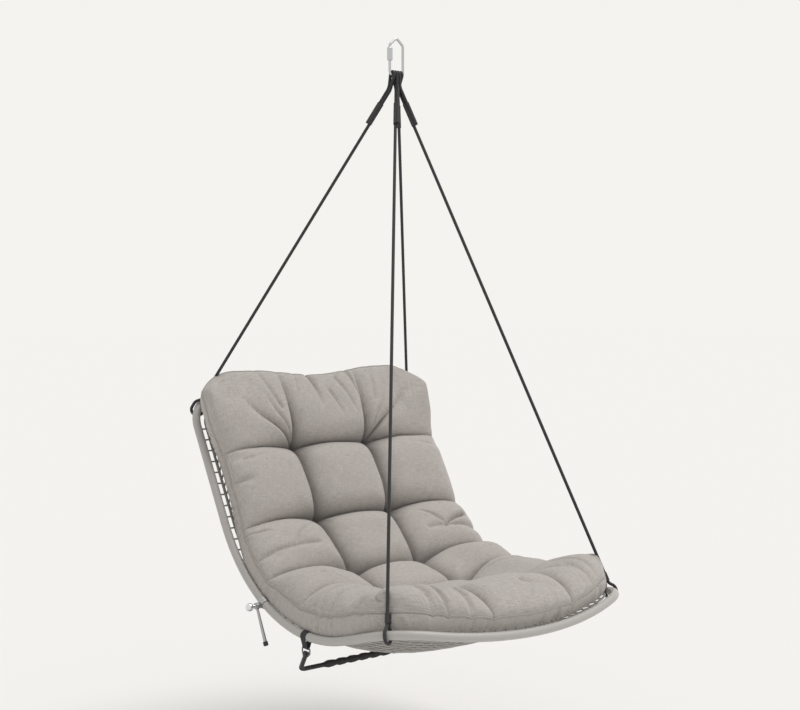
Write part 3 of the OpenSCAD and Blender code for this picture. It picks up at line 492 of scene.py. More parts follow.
def build_plait():
    """Plaited cord: diagonal strands that cross, from a UV map in metres along and once around."""
    tree, given, out = new_group(
        "Plaited Cord",
        [("Vector", VECTOR, None), ("Pitch", FLOAT, 0.012), ("Strands", FLOAT, 6.0),
         ("Light", COLOUR, (0.1, 0.1, 0.1, 1)), ("Dark", COLOUR, (0.02, 0.02, 0.02, 1)), ("Relief", FLOAT, 0.5)],
        [("Color", COLOUR), ("Normal", VECTOR)],
    )
    sep = add_node(tree, "ShaderNodeSeparateXYZ", {0: given["Vector"]})
    along = maths(tree, "DIVIDE", sep.outputs[0], given["Pitch"])
    around = maths(tree, "MULTIPLY", sep.outputs[1], given["Strands"])
    waves = []
    for sign in (1.0, -1.0):
        phase = maths(tree, "MULTIPLY_ADD", around, sign, along)
        waves.append(maths(tree, "ABSOLUTE", maths(tree, "SINE", maths(tree, "MULTIPLY", phase, pi))))
    fuzz = noise(tree, given["Vector"], 900.0, 3.0)
    # Painted shade: the colour is darker in the grooves between the strands and lighter on their crowns; the fuzz adds
    # a random real tone
    low = maths(tree, "MULTIPLY", *waves)
    tone = maths(tree, "MULTIPLY_ADD", low, 0.7, maths(tree, "MULTIPLY", fuzz, 0.4), clamp=True)
    feed(tree, out["Color"], mix_colours(tree, tone, given["Dark"], given["Light"]))
    height = maths(tree, "ADD", maths(tree, "MAXIMUM", *waves), maths(tree, "MULTIPLY", fuzz, 0.15))
    feed(tree, out["Normal"], bump(tree, given["Relief"], 0.0012, height))


def build_grain():
    """Fine grain of a coated or ground surface."""
    tree, given, out = new_group(
        "Fine Grain",
        [("Color", COLOUR, (0.5, 0.5, 0.5, 1)), ("Scale", FLOAT, 900.0), ("Spread", FLOAT, 0.08),
         ("Roughness", FLOAT, 0.4), ("Relief", FLOAT, 0.05)],
        [("Color", COLOUR), ("Roughness", FLOAT), ("Normal", VECTOR)],
    )
    where = add_node(tree, "ShaderNodeTexCoord").outputs["Object"]
    fine = noise(tree, where, given["Scale"], 3.0)
    broad = noise(tree, where, 9.0, 4.0)
    both = maths(tree, "ADD", maths(tree, "MULTIPLY", fine, 0.5), maths(tree, "MULTIPLY", broad, 0.5))
    shift = maths(tree, "MULTIPLY", maths(tree, "SUBTRACT", both, 0.5), given["Spread"])
    tint = maths(tree, "ADD", 1.0, shift)
    feed(tree, out["Color"], vector_maths(tree, "SCALE", {0: given["Color"], "Scale": tint}))
    feed(tree, out["Roughness"], maths(tree, "ADD", given["Roughness"], shift))
    feed(tree, out["Normal"], bump(tree, given["Relief"], 0.0004, fine))


def cloth_finish(name, light, dark, pitch):
    material, tree, shader = new_material(name)
    uv = add_node(tree, "ShaderNodeUVMap", uv_map="UVMap").outputs[0]
    weave = use_group(tree, "Woven Threads", {
        "Vector": uv, "Pitch": pitch, "Light": rgba(light), "Dark": rgba(dark), "Relief": 0.35})
    # Painted shade: the cloth's colour darkens towards 0.3 of its dark threads down in the creases and along their
    # lines
    deep = add_node(tree, "ShaderNodeAttribute", attribute_name="crease").outputs["Fac"]
    painted_crease_shade = maths(tree, "MULTIPLY", stops(tree, deep, (0.26, 0.0), (1.0, 1.0)), 0.85)
    shaded = mix_colours(tree, painted_crease_shade, weave["Color"], rgba(dark, 0.30))
    wire(tree, shader, Base_Color=shaded, Normal=weave["Normal"], Roughness=0.85,
         Sheen_Weight=0.25, Sheen_Roughness=0.5)
    return material


def cord_finish(name, colour, light, dark, pitch, strands, relief, rough, sheen):
    """Plaited cord, painted lighter on its strands' crowns and darker in the grooves between them, at light and dark
    times its colour.
    """
    material, tree, shader = new_material(name)
    uv = add_node(tree, "ShaderNodeUVMap", uv_map="UVMap").outputs[0]
    plait = use_group(tree, "Plaited Cord", {
        "Vector": uv, "Pitch": pitch, "Strands": strands, "Relief": relief,
        "Light": rgba(colour, light), "Dark": rgba(colour, dark)})
    wire(tree, shader, Base_Color=plait["Color"], Normal=plait["Normal"], Roughness=rough, Sheen_Weight=sheen)
    return material


def hard_finish(name, colour, rough, metal=0.0, spread=0.08, relief=0.05, scale=900.0, coat=0.0):
    material, tree, shader = new_material(name)
    grain = use_group(tree, "Fine Grain", {
        "Color": rgba(colour), "Scale": scale, "Spread": spread, "Roughness": rough, "Relief": relief})
    wire(tree, shader, Base_Color=grain["Color"], Roughness=grain["Roughness"], Normal=grain["Normal"],
         Metallic=metal, Coat_Weight=coat, Coat_Roughness=0.2)
    return material


def paint_node(name, material):
    """Gives a carried-over node its finish."""
    node = NODES[name]
    if not node.material_slots:
        node.data.materials.append(material)
    for place in node.material_slots:
        place.material = material


# ---- Ropes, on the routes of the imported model's ----

ROPE_D, WIRE = 0.012, 0.010  # the rope's thickness and that of the link's wire
GAP, STRAND_GAP = 0.0003, 0.0002  # an eye's play on the wire, and the gap between two strands
STEP = ROPE_D + STRAND_GAP  # between two strands that lie side by side
EYE_R = WIRE / 2 + GAP + ROPE_D / 2
BACK_PLACE, FRONT_PLACE = 0.5, 0.33  # how far round the ring's corners the ropes are fixed
EYE_SLOPE, EYE_BACK_R = radians(15), 0.030
FOOT_R, FOOT_SLOPE = 0.023, radians(42)
FOOT_BACK_R, FOOT_LAP_R = 0.020, 0.015
BACK_FOOT_H, FRONT_FOOT_H = 0.007, 0.002  # how far the lower eyes are drawn out
FAN_R = 0.040
SPARE = 0.004  # straight bit that follows an eye
LAP, COLLAR = 0.136, 0.030  # laps under the link and above the ring
FAN_ROUNDS = 8  # the fan's angle settles well before this many


def foot_slant(rb):
    """Straight length of a lower eye's strand up to a bend of radius rb."""
    return (FOOT_R * cos(FOOT_SLOPE) - STEP / 2 - rb * (1 - cos(FOOT_SLOPE))) / sin(FOOT_SLOPE)


# Straight length of the upper eye's returning strand, and how far the whole eye reaches down
EYE_SLANT = (EYE_R - STEP + EYE_R * cos(EYE_SLOPE) - EYE_BACK_R * (1 - cos(EYE_SLOPE))) / sin(EYE_SLOPE)
UPPER = EYE_R * sin(EYE_SLOPE) + EYE_SLANT * cos(EYE_SLOPE) + EYE_BACK_R * sin(EYE_SLOPE) + SPARE


def rope_facts(back):
    """Fixing point, ring direction and drawn-out height of the lower eye of a rope on the left side."""
    if back:
        w = BACK_PLACE * (pi / 2 - BACK_BOW)
        fix = turn(top_end(0), TOP_TURN, TOP_SIDE, BACK_R, w)
        return fix, cos(w) * TOP_TURN + sin(w) * TOP_SIDE, BACK_FOOT_H
    w = FRONT_PLACE * CORNER_ANGLE
    fix = turn(rail_front(0), UP_SEAT, CORNER_IN, FRONT_R, w)
    return fix, cos(w) * UP_SEAT + sin(w) * CORNER_IN, FRONT_FOOT_H


def foot_side(c, d, k, h, g, rb):
    """One strand of a lower eye, from the side of the tube up to where it lies by the rope."""
    p = c + g * FOOT_R * k
    first = arc(p + h * d, d, -g * k, FOOT_R, FOOT_SLOPE, 12)
    v = cos(FOOT_SLOPE) * d - g * sin(FOOT_SLOPE) * k
    back_to = sin(FOOT_SLOPE) * d + g * cos(FOOT_SLOPE) * k
    return np.vstack(([p - h * d], first, arc(first[-1] + foot_slant(rb) * v, v, back_to, rb, FOOT_SLOPE, 10)))


def rope_path(back):
    """Route of a left rope, from the end of its upper lap to the end of its lower one."""
    fix, tangent, h = rope_facts(back)
    wire_mid = -DROP * UP
    # The eyes sit side by side on the wire, those of the back ropes outside
    slot_at = wire_mid - (1.5 if back else 0.5) * (ROPE_D + 2 * STRAND_GAP) * X
    out = -1 if back else 1
    d = unit((0, fix[1], fix[2] + DROP))
    u = unit(fix - wire_mid)
    for _ in range(FAN_ROUNDS):
        m = out * np.array((0, -d[2], d[1]))
        end = fix + STEP / 2 * unit(np.cross(u, tangent))
        q = end - slot_at - EYE_R * m
        d = unit((0, q[1], q[2]))
        m = out * np.array((0, -d[2], d[1]))
        q = end - slot_at - EYE_R * m - UPPER * d
        a, b = float(q @ d), -q[0] - FAN_R
        fan = atan2(b, a) + atan2(FAN_R, sqrt(a * a + b * b - FAN_R * FAN_R))
        u = cos(fan) * d - sin(fan) * X
    k = unit(np.cross(u, tangent))
    v = cos(EYE_SLOPE) * d + sin(EYE_SLOPE) * m
    ring = arc(slot_at + EYE_R * m, -d, -m, EYE_R, pi + EYE_SLOPE, 40)
    back_to = sin(EYE_SLOPE) * d - cos(EYE_SLOPE) * m
    back_bend = arc(ring[-1] + EYE_SLANT * v, v, back_to, EYE_BACK_R, EYE_SLOPE, 10)
    fan_arc = arc(slot_at + EYE_R * m + UPPER * d, d, -X, FAN_R, fan, 12)
    lap = fan_arc - STEP * m
    bottom = arc(fix + h * u - FOOT_R * k, u, k, FOOT_R, pi, 40)[::-1]
    near = foot_side(fix, -u, k, h, 1, FOOT_BACK_R)
    far = foot_side(fix, -u, k, h, -1, FOOT_LAP_R)
    return np.vstack((
        [lap[-1] + LAP * u], lap[::-1], back_bend[::-1], ring[::-1], fan_arc,
        near[::-1], bottom, far, [far[-1] - (COLLAR + SPARE) * u]))


# ---- Property groups ----


def size_setting(name, description, default):
    return bpy.props.FloatProperty(name=name, description=description, default=default, unit="LENGTH")


def colour_setting(name, description, default):
    return bpy.props.FloatVectorProperty(name=name, description=description, default=default, subtype="COLOR")


class SwingSizes(bpy.types.PropertyGroup):
    pillow_crown: size_setting("Pillow crown", "Height of the pillows above the ring's plane", 0.127)
    seam_height: size_setting("Seam height", "Height of the boxing seam above the ring's plane", 0.070)
    tuft_depth: size_setting("Tuft depth", "How deep the tufts pull the cushion in", 0.092)
    thread_pitch: size_setting("Thread pitch", "Spacing of the cushion cloth's threads", 0.0016)


class SwingColours(bpy.types.PropertyGroup):
    linen_light: colour_setting("Linen, light threads", "Light threads of the cushion cloth", (0.566, 0.528, 0.498))
    linen_dark: colour_setting("Linen, dark threads", "Dark threads of the cushion cloth", (0.374, 0.343, 0.321))
    ring_paint: colour_setting("Ring paint", "Powder coat of the ring", (0.47, 0.455, 0.435))
    rope_black: colour_setting("Rope", "Ropes", (0.011, 0.011, 0.0125))
    net_grey: colour_setting("Net cord", "Cord of the net", (0.43, 0.415, 0.395))
    floor: colour_setting("Floor", "Floor and backdrop", (0.905, 0.896, 0.863))


# ---- Cushion ----

ROWS, COLUMNS, LEVELS = 331, 201, 19  # corners of its meshes along, across and up the boxing
FACE_SIZE = (1.72, 0.97)  # the face's cloth laid flat, which its weave is scaled by
BOXING_HEIGHT = 0.11

# Rows of tufts from the top down: s, half the distance between the row's two tufts, the width of the crease
# between them, then each side's crease: by way of, to, depth at the tuft and at its end
TUFT_ROWS = (
    (0.300, 0.176, 0.130, (0.320, 0.288), (0.485, 0.312), 0.072, 0.030),
    (0.602, 0.174, 0.130, (0.320, 0.575), (0.485, 0.612), 0.074, 0.034),
    (0.900, 0.160, 0.125, (0.290, 0.850), (0.485, 0.872), 0.074, 0.036),
    (1.172, 0.168, 0.125, (0.290, 1.075), (0.485, 1.105), 0.070, 0.030),
    (1.470, 0.170, 0.120, (0.300, 1.410), (0.470, 1.390), 0.050, 0.014),
)
# Depth of the creases from tuft to tuft, and widths of those down the face and of those out to the sides
SEAM_DEPTH, COLUMN_WIDTH, SIDE_WIDTH = 0.072, 0.150, 0.140

# Folds that both sides have: from, by way of, to, depth at the start and at the end, width
SIDE_FOLDS = (
    # up to the top edge and out to the corner
    ((0.176, 0.300), (0.172, 0.180), (0.186, 0.045), 0.070, 0.016, 0.075),
    ((0.176, 0.300), (0.265, 0.205), (0.405, 0.135), 0.060, 0.006, 0.060),
    ((0.180, 0.290), (0.225, 0.200), (0.292, 0.120), 0.034, 0.003, 0.036),
    # gathers beside the creases
    ((0.235, 0.318), (0.330, 0.330), (0.455, 0.352), 0.012, 0.014, 0.030),
    ((0.225, 0.628), (0.320, 0.655), (0.362, 0.752), 0.015, 0.010, 0.034),
    ((0.270, 0.755), (0.370, 0.742), (0.485, 0.775), 0.010, 0.022, 0.045),
    ((0.225, 0.560), (0.330, 0.535), (0.440, 0.560), 0.010, 0.003, 0.030),
    ((0.215, 0.880), (0.300, 0.905), (0.400, 0.955), 0.018, 0.004, 0.035),
    ((0.230, 1.150), (0.330, 1.175), (0.450, 1.215), 0.016, 0.012, 0.038),
    ((0.240, 1.100), (0.340, 1.030), (0.430, 1.000), 0.012, 0.004, 0.032),
    # from the last tuft to the front edge
    ((0.170, 1.470), (0.196, 1.600), (0.180, 1.715), 0.056, 0.034, 0.080),
    ((0.195, 1.500), (0.290, 1.560), (0.330, 1.660), 0.020, 0.006, 0.045),
)

# Loose gathers of the top edge and of the face, not the same on both sides; the gain multiplies their depths
LOOSE_GAIN = 1.7
LOOSE_FOLDS = (
    ((-0.054, 0.030), (-0.030, 0.09), (-0.039, 0.155), 0.022, 0.004, 0.030),
    ((0.128, 0.015), (0.178, 0.09), (0.160, 0.200), 0.016, 0.010, 0.030),
    ((0.020, 0.110), (0.045, 0.160), (0.058, 0.215), 0.006, 0.003, 0.022),
    ((0.075, 0.070), (0.110, 0.130), (0.128, 0.200), 0.007, 0.004, 0.022),
    ((-0.100, 0.020), (-0.120, 0.08), (-0.150, 0.150), 0.010, 0.003, 0.028),
    ((-0.330, 0.020), (-0.270, 0.08), (-0.225, 0.160), 0.006, 0.008, 0.030),
    ((0.300, 0.010), (0.262, 0.07), (0.225, 0.150), 0.007, 0.006, 0.030),
    ((-0.440, 0.430), (-0.485, 0.440), (-0.520, 0.415), 0.006, 0.018, 0.030),
    ((-0.430, 0.655), (-0.470, 0.650), (-0.520, 0.640), 0.006, 0.018, 0.028),
    ((0.455, 0.700), (0.400, 0.720), (0.355, 0.760), 0.016, 0.012, 0.030),
    ((-0.300, 1.280), (-0.390, 1.270), (-0.485, 1.300), 0.006, 0.018, 0.040),
    ((0.360, 1.270), (0.430, 1.290), (0.490, 1.280), 0.004, 0.014, 0.036),
    ((-0.230, 1.550), (-0.250, 1.630), (-0.285, 1.710), 0.010, 0.014, 0.030),
    ((0.020, 1.620), (0.060, 1.640), (0.110, 1.650), 0.010, 0.004, 0.026),
    ((-0.350, 1.500), (-0.390, 1.590), (-0.400, 1.680), 0.004, 0.016, 0.032),
    ((0.400, 1.480), (0.430, 1.550), (0.430, 1.640), 0.005, 0.014, 0.028),
    ((-0.440, 1.420), (-0.480, 1.460), (-0.515, 1.520), 0.004, 0.014, 0.030),
    ((0.330, 1.520), (0.370, 1.600), (0.380, 1.690), 0.004, 0.012, 0.026),
    ((-0.300, 1.400), (-0.400, 1.440), (-0.470, 1.560), 0.004, 0.020, 0.030),
    ((-0.260, 1.450), (-0.330, 1.520), (-0.352, 1.690), 0.006, 0.020, 0.028),
    ((-0.380, 1.180), (-0.450, 1.200), (-0.500, 1.250), 0.004, 0.016, 0.028),
    ((0.440, 1.340), (0.470, 1.400), (0.480, 1.470), 0.004, 0.010, 0.024),
    ((0.455, 1.490), (0.470, 1.540), (0.468, 1.600), 0.004, 0.010, 0.022),
    ((0.300, 1.580), (0.325, 1.640), (0.326, 1.705), 0.004, 0.012, 0.022),
)

# Creases that pull the cushion's side in: s and width
SIDE_TUCKS = ((0.345, 0.022), (0.618, 0.024), (0.790, 0.020), (0.885, 0.022), (1.110, 0.026), (1.400, 0.030))


def creases():
    """All creases and folds of the face: from, by way of and to, as x and s, depth at both ends, width."""
    out = []
    for side in (-1, 1):
        for k, (s, t, _, via, end, deep, shallow) in enumerate(TUFT_ROWS):
            here = (side * t, s)
            if k + 1 < len(TUFT_ROWS):
                next_s, next_t = TUFT_ROWS[k + 1][:2]
                middle = (side * 0.5 * (t + next_t), 0.5 * (s + next_s))
                out.append((here, middle, (side * next_t, next_s), SEAM_DEPTH, SEAM_DEPTH, COLUMN_WIDTH))
            out.append((here, (side * via[0], via[1]), (side * end[0], end[1]), deep, shallow, SIDE_WIDTH))
        for *places, deep, shallow, width in SIDE_FOLDS:
            out.append((*((side * x, s) for x, s in places), deep, shallow, width))
    for s, t, width, *_ in TUFT_ROWS:
        out.append(((-t, s), (0, s - 0.012), (t, s), SEAM_DEPTH, SEAM_DEPTH, width))
    for *places, deep, shallow, width in LOOSE_FOLDS:
        out.append((*places, LOOSE_GAIN * deep, LOOSE_GAIN * shallow, width))
    return out


def carve(x, s, parts=8, blunt=0.003):
    """Depth in metres that the creases cut into the face at x, s, and how near their lines are, from 0 to 1."""
    total, line = np.zeros_like(x), np.zeros_like(x)
    w = np.linspace(0, 1, parts + 1)[:, None]
    for a, b, c, at_start, at_end, width in creases():
        a, b, c = np.array(a), np.array(b), np.array(c)
        middle, room = 0.5 * (a + c), 0.5 * np.abs(a - c) + width + 0.06
        near = (np.abs(x - middle[0]) < room[0]) & (np.abs(s - middle[1]) < room[1])
        px, ps = x[near], s[near]
        points = (1 - w) ** 2 * a + 2 * w * (1 - w) * b + w * w * c
        best, along = np.full_like(px, 9.0), np.zeros_like(px)
        for k in range(parts):
            p, e = points[k], points[k + 1] - points[k]
            t = np.clip(((px - p[0]) * e[0] + (ps - p[1]) * e[1]) / (e @ e), 0, 1)
            d = np.hypot(px - p[0] - t * e[0], ps - p[1] - t * e[1])
            along = np.where(d < best, (k + t) / parts, along)
            best = np.minimum(best, d)
        depth = at_start + (at_end - at_start) * along
        reach = np.sqrt(best**2 + blunt**2) - blunt
        narrow, wide = fade(reach, 0.62 * width), fade(reach, 1.15 * width)
        # The face swells between two tufts, or away from the one that the crease leaves
        swell = np.sin(pi * along) if at_end > 0.06 else rise(along, 0, 0.6)
        groove = 0.66 * (1 - np.sqrt(1 - narrow**2)) + 0.50 * (1 - 0.72 * swell) * wide**2
        total[near] += (depth * groove) ** 4
        line[near] = np.maximum(line[near], np.clip(depth / 0.050, 0, 1) * np.exp(-((best / 0.0052) ** 2)))
    return total**0.25, line


def lumps(x, s, size, seed):
    """A slow unevenness of the filling, between about -1 and 1."""
    out = np.zeros_like(x)
    for k in range(5):
        w = seed + 2.4 * k
        out += np.sin((x * cos(w) + s * sin(w)) * 2 * pi / (size * (1 + 0.22 * k)) + 1.7 * w)
    return out / 3.2


def seat_side(x, s):
    """The fuller sides of the seat."""
    return rise(s, 0.85, 1.00) * rise(np.abs(x), 0.23, 0.38)


def pad_plan(v, u):
    """x and s of a place of the cushion; u runs across from -1 to 1 and v along from 0 to 1."""
    x = u * PAD_HALF
    start = top_at(x, PAD_INSET)
    end = net_end(u * NET_HALF) - (PAD_INSET - NET_INSET) - PAD_SHORT
    return x, start + v * (end - start)


def rim_distances(v, u):
    """How far a place of the cushion lies from its side, its top and its front."""
    return (1 - np.abs(u)) * PAD_HALF, v * PAD_RUN, (1 - v) * PAD_RUN


def pad_top(v, u, sizes):
    """x, s and height of a place of the cushion's face."""
    x, s = pad_plan(v, u)
    side, first, last = rim_distances(v, u)
    wide = np.abs(x)
    full_side = seat_side(x, s)
    to_side = np.sign(u)

    # The outline: ears at the top corners, the right one rounder, and sides that stand over the rim
    corner_cut = np.where(u > 0, 0.118, 0.085) * np.clip((wide - 0.37) / (PAD_HALF - 0.37), 0, 1) ** 2.2
    top_line = 0.028 * fall(wide, 0, 0.3) - 0.012 + corner_cut
    out_x = to_side * (0.020 + 0.016 * rise(s, 0.50, 0.75) * fall(s, 1.62, 1.72)) * fade(side, 0.11) ** 2
    out_s = 0.014 * rise(side, 0, 0.09) * fade(last, 0.11) ** 2
    out_s += (top_line - top_at(x, PAD_INSET)) * fade(first, 0.12) ** 2

    # The pillows' height above the rim's seam
    round_over = np.sqrt(1 - fade(np.minimum.reduce((side, first, last)), 0.085) ** 2)
    seam = sizes.seam_height + 0.024 * fall(first, 0, 0.22) + 0.014 * full_side * fall(s, 1.45, 1.60)
    crown = sizes.pillow_crown + (0.038 - 0.016 * rise(s, 1.28, 1.42)) * full_side
    cut, line = carve(x, s)
    cut = (cut + 0.003 * line) * sizes.tuft_depth / 0.080
    h = seam + (crown - seam) * round_over - cut * (0.35 + 0.65 * round_over)
    corner = rise(wide, 0.34, 0.47) * fall(first, 0.02, 0.18)
    h += 0.030 * corner * round_over + 0.012 * corner
    h += (0.0035 * lumps(x, s, 0.31, 0.4) + 0.0016 * lumps(x, s, 0.11, 1.9)) * round_over
    out_x += to_side * 0.016 * corner * fade(side, 0.11)

    # The filling sags to the left at the top and to the right at the front
    top_end = fall(first, 0.06, 0.22)
    sag_right = 0.026 * u * np.exp(-(((s - 1.50) / 0.13) ** 2)) - 0.032 * u * top_end
    out_x += to_side * np.where(u > 0, sag_right, -0.026 * u * top_end) * fade(side, 0.14)

    # The ends of the pillows puff out over the rim at the four corners and pull in at each crease
    puff = 0.040 * fall(first, 0.10, 0.24) * rise(first, 0, 0.03)
    puff += 0.022 * fall(last, 0.12, 0.28) * rise(last, 0, 0.05)
    tuck = sum(np.exp(-(((s - at) / width) ** 2)) for at, width in SIDE_TUCKS)
    out_x += to_side * np.sin(pi * fade(side, 0.10)) * (puff + 0.012 - 0.026 * tuck)
    return x + out_x, s + out_s, h


def pad_low(v, u):
    """x, s and height of a place of the cushion's underside, which lies in the net."""
    x, s = pad_plan(v, u)
    side, _, last = rim_distances(v, u)
    rim = fade(side, 0.08) ** 2
    over = 0.021 * rise(s, 0.42, 0.67) * fall(s, 1.55, 1.70) * rim
    # Along the knee and the seat it lies on the ring, and at the front corners it stands over the lacing
    rests = rise(s, 0.62, 0.74) * fall(s, 1.42, 1.54) * rim
    front = rise(np.abs(x), 0.26, 0.42) * fade(last, 0.08) ** 2
    lift = 0.011 * np.maximum(rests, front)
    return x + np.sign(u) * (over + 0.020 * rests), s + 0.020 * front, PAD_OVER_NET + lift - hang(x, s)


def rim_round():
    """v and u of the corners of the face's rim, once round from the top left."""
    along, across = np.linspace(0, 1, ROWS), np.linspace(-1, 1, COLUMNS)
    v = np.concatenate((np.zeros(COLUMNS), along[1:], np.ones(COLUMNS - 1), np.linspace(1, 0, ROWS)[1:]))
    u = np.concatenate((across, np.ones(ROWS - 1), np.linspace(1, -1, COLUMNS)[1:], -np.ones(ROWS - 1)))
    return v, u


def boxing_band(rim_v, rim_u, top_rim, low_rim, run):
    """The band between the rims of the face and of the underside, gathered in puckers below its seam."""

    def wave(size, phase=0.0):
        return np.sin(run * 2 * pi / size + phase)

    pucker = 0.5 * wave(0.027) + 0.35 * wave(0.041, 1.0) + 0.4 * wave(0.073, 2.0)
    pucker *= (0.5 + 0.5 * wave(0.33, 0.6)) * rise(run, 0, 0.1) * rise(run[-1] - run, 0, 0.1)

    def place(v, u):
        n = np.rint(u * (len(run) - 1)).astype(int)
        y = 1 - v
        (x1, s1, h1), (x0, s0, h0) = ([np.asarray(q)[n] for q in rim] for rim in (top_rim, low_rim))
        lean = y**0.62
        bulge = 0.006 * np.sin(pi * y) ** 0.8 + 0.0048 * pucker[n] * np.sin(pi * y) ** 0.6
        seam_dent = 0.0045 * np.exp(-(((y - 0.955) / 0.022) ** 2))
        way = np.where((y >= 0.9999) | (y <= 0.0001), 0, bulge - seam_dent)
        to_side = np.sign(rim_u[n]) * np.clip((np.abs(rim_u[n]) - 0.9) / 0.1, 0, 1)
        to_end = np.where(rim_v[n] > 0.5, 1, -1) * ((rim_v[n] > 0.999) | (rim_v[n] < 0.001))
        return laid_at(x0 + (x1 - x0) * lean + way * to_side, s0 + (s1 - s0) * lean + way * to_end, h0 + (h1 - h0) * y)

    return grid_mesh("cushion_boxing", LEVELS, len(run), place, (BOXING_HEIGHT, float(run[-1])))


class SWING_OT_cushion(bpy.types.Operator):
    """Makes the tufted cushion with its boxing and the seam round its rim"""

    bl_idname = "swing.cushion"
    bl_label = "Cushion"

    weld = 2e-5  # corners that lie nearer than this are joined
    welt_radius, welt_lift = 0.0022, 0.0006

    def execute(self, context):
        sizes, colours = context.scene.swing_sizes, context.scene.swing_colours
        linen = cloth_finish("Melange Linen", colours.linen_light, colours.linen_dark, sizes.thread_pitch)
        rim_v, rim_u = rim_round()
        top_rim, low_rim = pad_top(rim_v, rim_u, sizes), pad_low(rim_v, rim_u)
        seam = laid_at(*top_rim)

        top = grid_mesh("cushion_face", ROWS, COLUMNS, lambda v, u: laid_at(*pad_top(v, 2 * u - 1, sizes)), FACE_SIZE)
        back = grid_mesh("cushion_back", ROWS, COLUMNS, lambda v, u: laid_at(*pad_low(v, 2 * u - 1)), FACE_SIZE)
        band = boxing_band(rim_v, rim_u, top_rim, low_rim, distance_along(seam))
        # Each corner of the face keeps how far the creases pull it in there and how near a crease line runs, which the
        # cloth's finish turns into painted shade
        flat, v, u = flat_grid("places", ROWS, COLUMNS)
        bpy.data.meshes.remove(flat)
        cut, line = carve(*pad_plan(v, 2 * u - 1))
        shade = top.attributes.new("crease", "FLOAT", "POINT")
        shade.data.foreach_set("value", np.clip(np.maximum(cut / 0.085, line), 0, 1))
        bm = bmesh.new()
        for mesh in (top, back, band):
            bm.from_mesh(mesh)
            bpy.data.meshes.remove(mesh)
        bmesh.ops.remove_doubles(bm, verts=bm.verts, dist=self.weld)
        open_edges = [e for e in bm.edges if len(e.link_faces) != 2]
        if open_edges:
            raise RuntimeError(f"the cushion has {len(open_edges)} open edges")
        bmesh.ops.recalc_face_normals(bm, faces=bm.faces)
        piece = make_piece("seat_cushion", bm, linen, "swing", ("cushion",))

        # Stitched seam that runs round the rim, as a thin corded welt
        welt = bmesh.new()
        up = rail_normal(np.clip(top_rim[1][:-1], 0, 2))
        add_tube(welt, seam[:-1] + self.welt_lift * up, self.welt_radius, 6, closed=True)
        finish = hard_finish("Linen Welt", (0.44, 0.41, 0.385), 0.9, spread=0.3, relief=0.4)
        make_piece("cushion_welt", welt, finish, "swing")
        return {"FINISHED"}


class SWING_OT_ropes(bpy.types.Operator):
    """Makes the four ropes with their eyes and laps"""

    bl_idname = "swing.ropes"
    bl_label = "Ropes"

    def execute(self, context):
        black = context.scene.swing_colours.rope_black
        finish = cord_finish("Black Rope", black, 2.6, 0.7, 0.007, 8, relief=0.45, rough=0.6, sheen=0.08)
        sleeve = hard_finish("Grey Sleeve", (0.022, 0.022, 0.024), 0.6, spread=0.3, relief=0.4, scale=600.0)
        for end in ("back", "front"):
            path = even_path(rope_path(end == "back"), 0.004)
            for side, flip in SIDES.items():
                bm = bmesh.new()
                add_tube(bm, path * (flip, 1, 1), ROPE_D / 2 - STRAND_GAP, 14)
                rope = f"rope_{end}_{side}"
                make_piece(f"woven_{rope}", bm, finish, "swing", (rope,))
                paint_node(f"splice_{end}_{side}", sleeve)
                paint_node(f"collar_{end}_{side}", sleeve)
        return {"FINISHED"}


class SWING_OT_net(bpy.types.Operator):
    """Makes the net and gives its edge cord and lacing their finish"""

    bl_idname = "swing.net"
    bl_label = "Net"

    long_cords, cross_cords = 27, 43
    cord_radius = 0.0030
    below = 0.001  # from the net's surface to the middle of its cords
    over_under, waves = 0.0006, 36  # how far the long cords rise and sink, and how often
    long_points, cross_points = 70, 50

    def execute(self, context):
        grey = context.scene.swing_colours.net_grey
        finish = cord_finish("Grey Cord", grey, 1.5, 0.6, 0.006, 6, relief=0.7, rough=0.75, sheen=0.1)
        bm = bmesh.new()
        for j in range(self.long_cords):
            x = np.full(self.long_points, (2 * j / (self.long_cords - 1) - 1) * NET_HALF)
            t0, t1 = top_at(x, NET_INSET), net_end(x)
            s = t0 + np.linspace(0, 1, self.long_points) * (t1 - t0)
            wave = np.sin(np.linspace(0, self.waves * pi, self.long_points) + pi * j)
            lift = self.over_under * np.sign(wave)
            add_tube(bm, laid_at(x, s, lift - self.below - hang(x, s)), self.cord_radius, 6)
        x = np.linspace(-1, 1, self.cross_points) * NET_HALF
        t0, t1 = top_at(x, NET_INSET), net_end(x)
        for i in range(1, self.cross_cords + 1):
            s = t0 + i / (self.cross_cords + 1) * (t1 - t0)
            add_tube(bm, laid_at(x, s, -self.below - hang(x, s)), self.cord_radius, 6)
        make_piece("corded_net", bm, finish, "swing", ("net",))
        plain = hard_finish("Grey Cord Plain", (0.30, 0.29, 0.275), 0.75, spread=0.4, relief=0.5, scale=700.0)
        paint_node("net_edge_cord", plain)
        paint_node("net_lacing", plain)
        return {"FINISHED"}


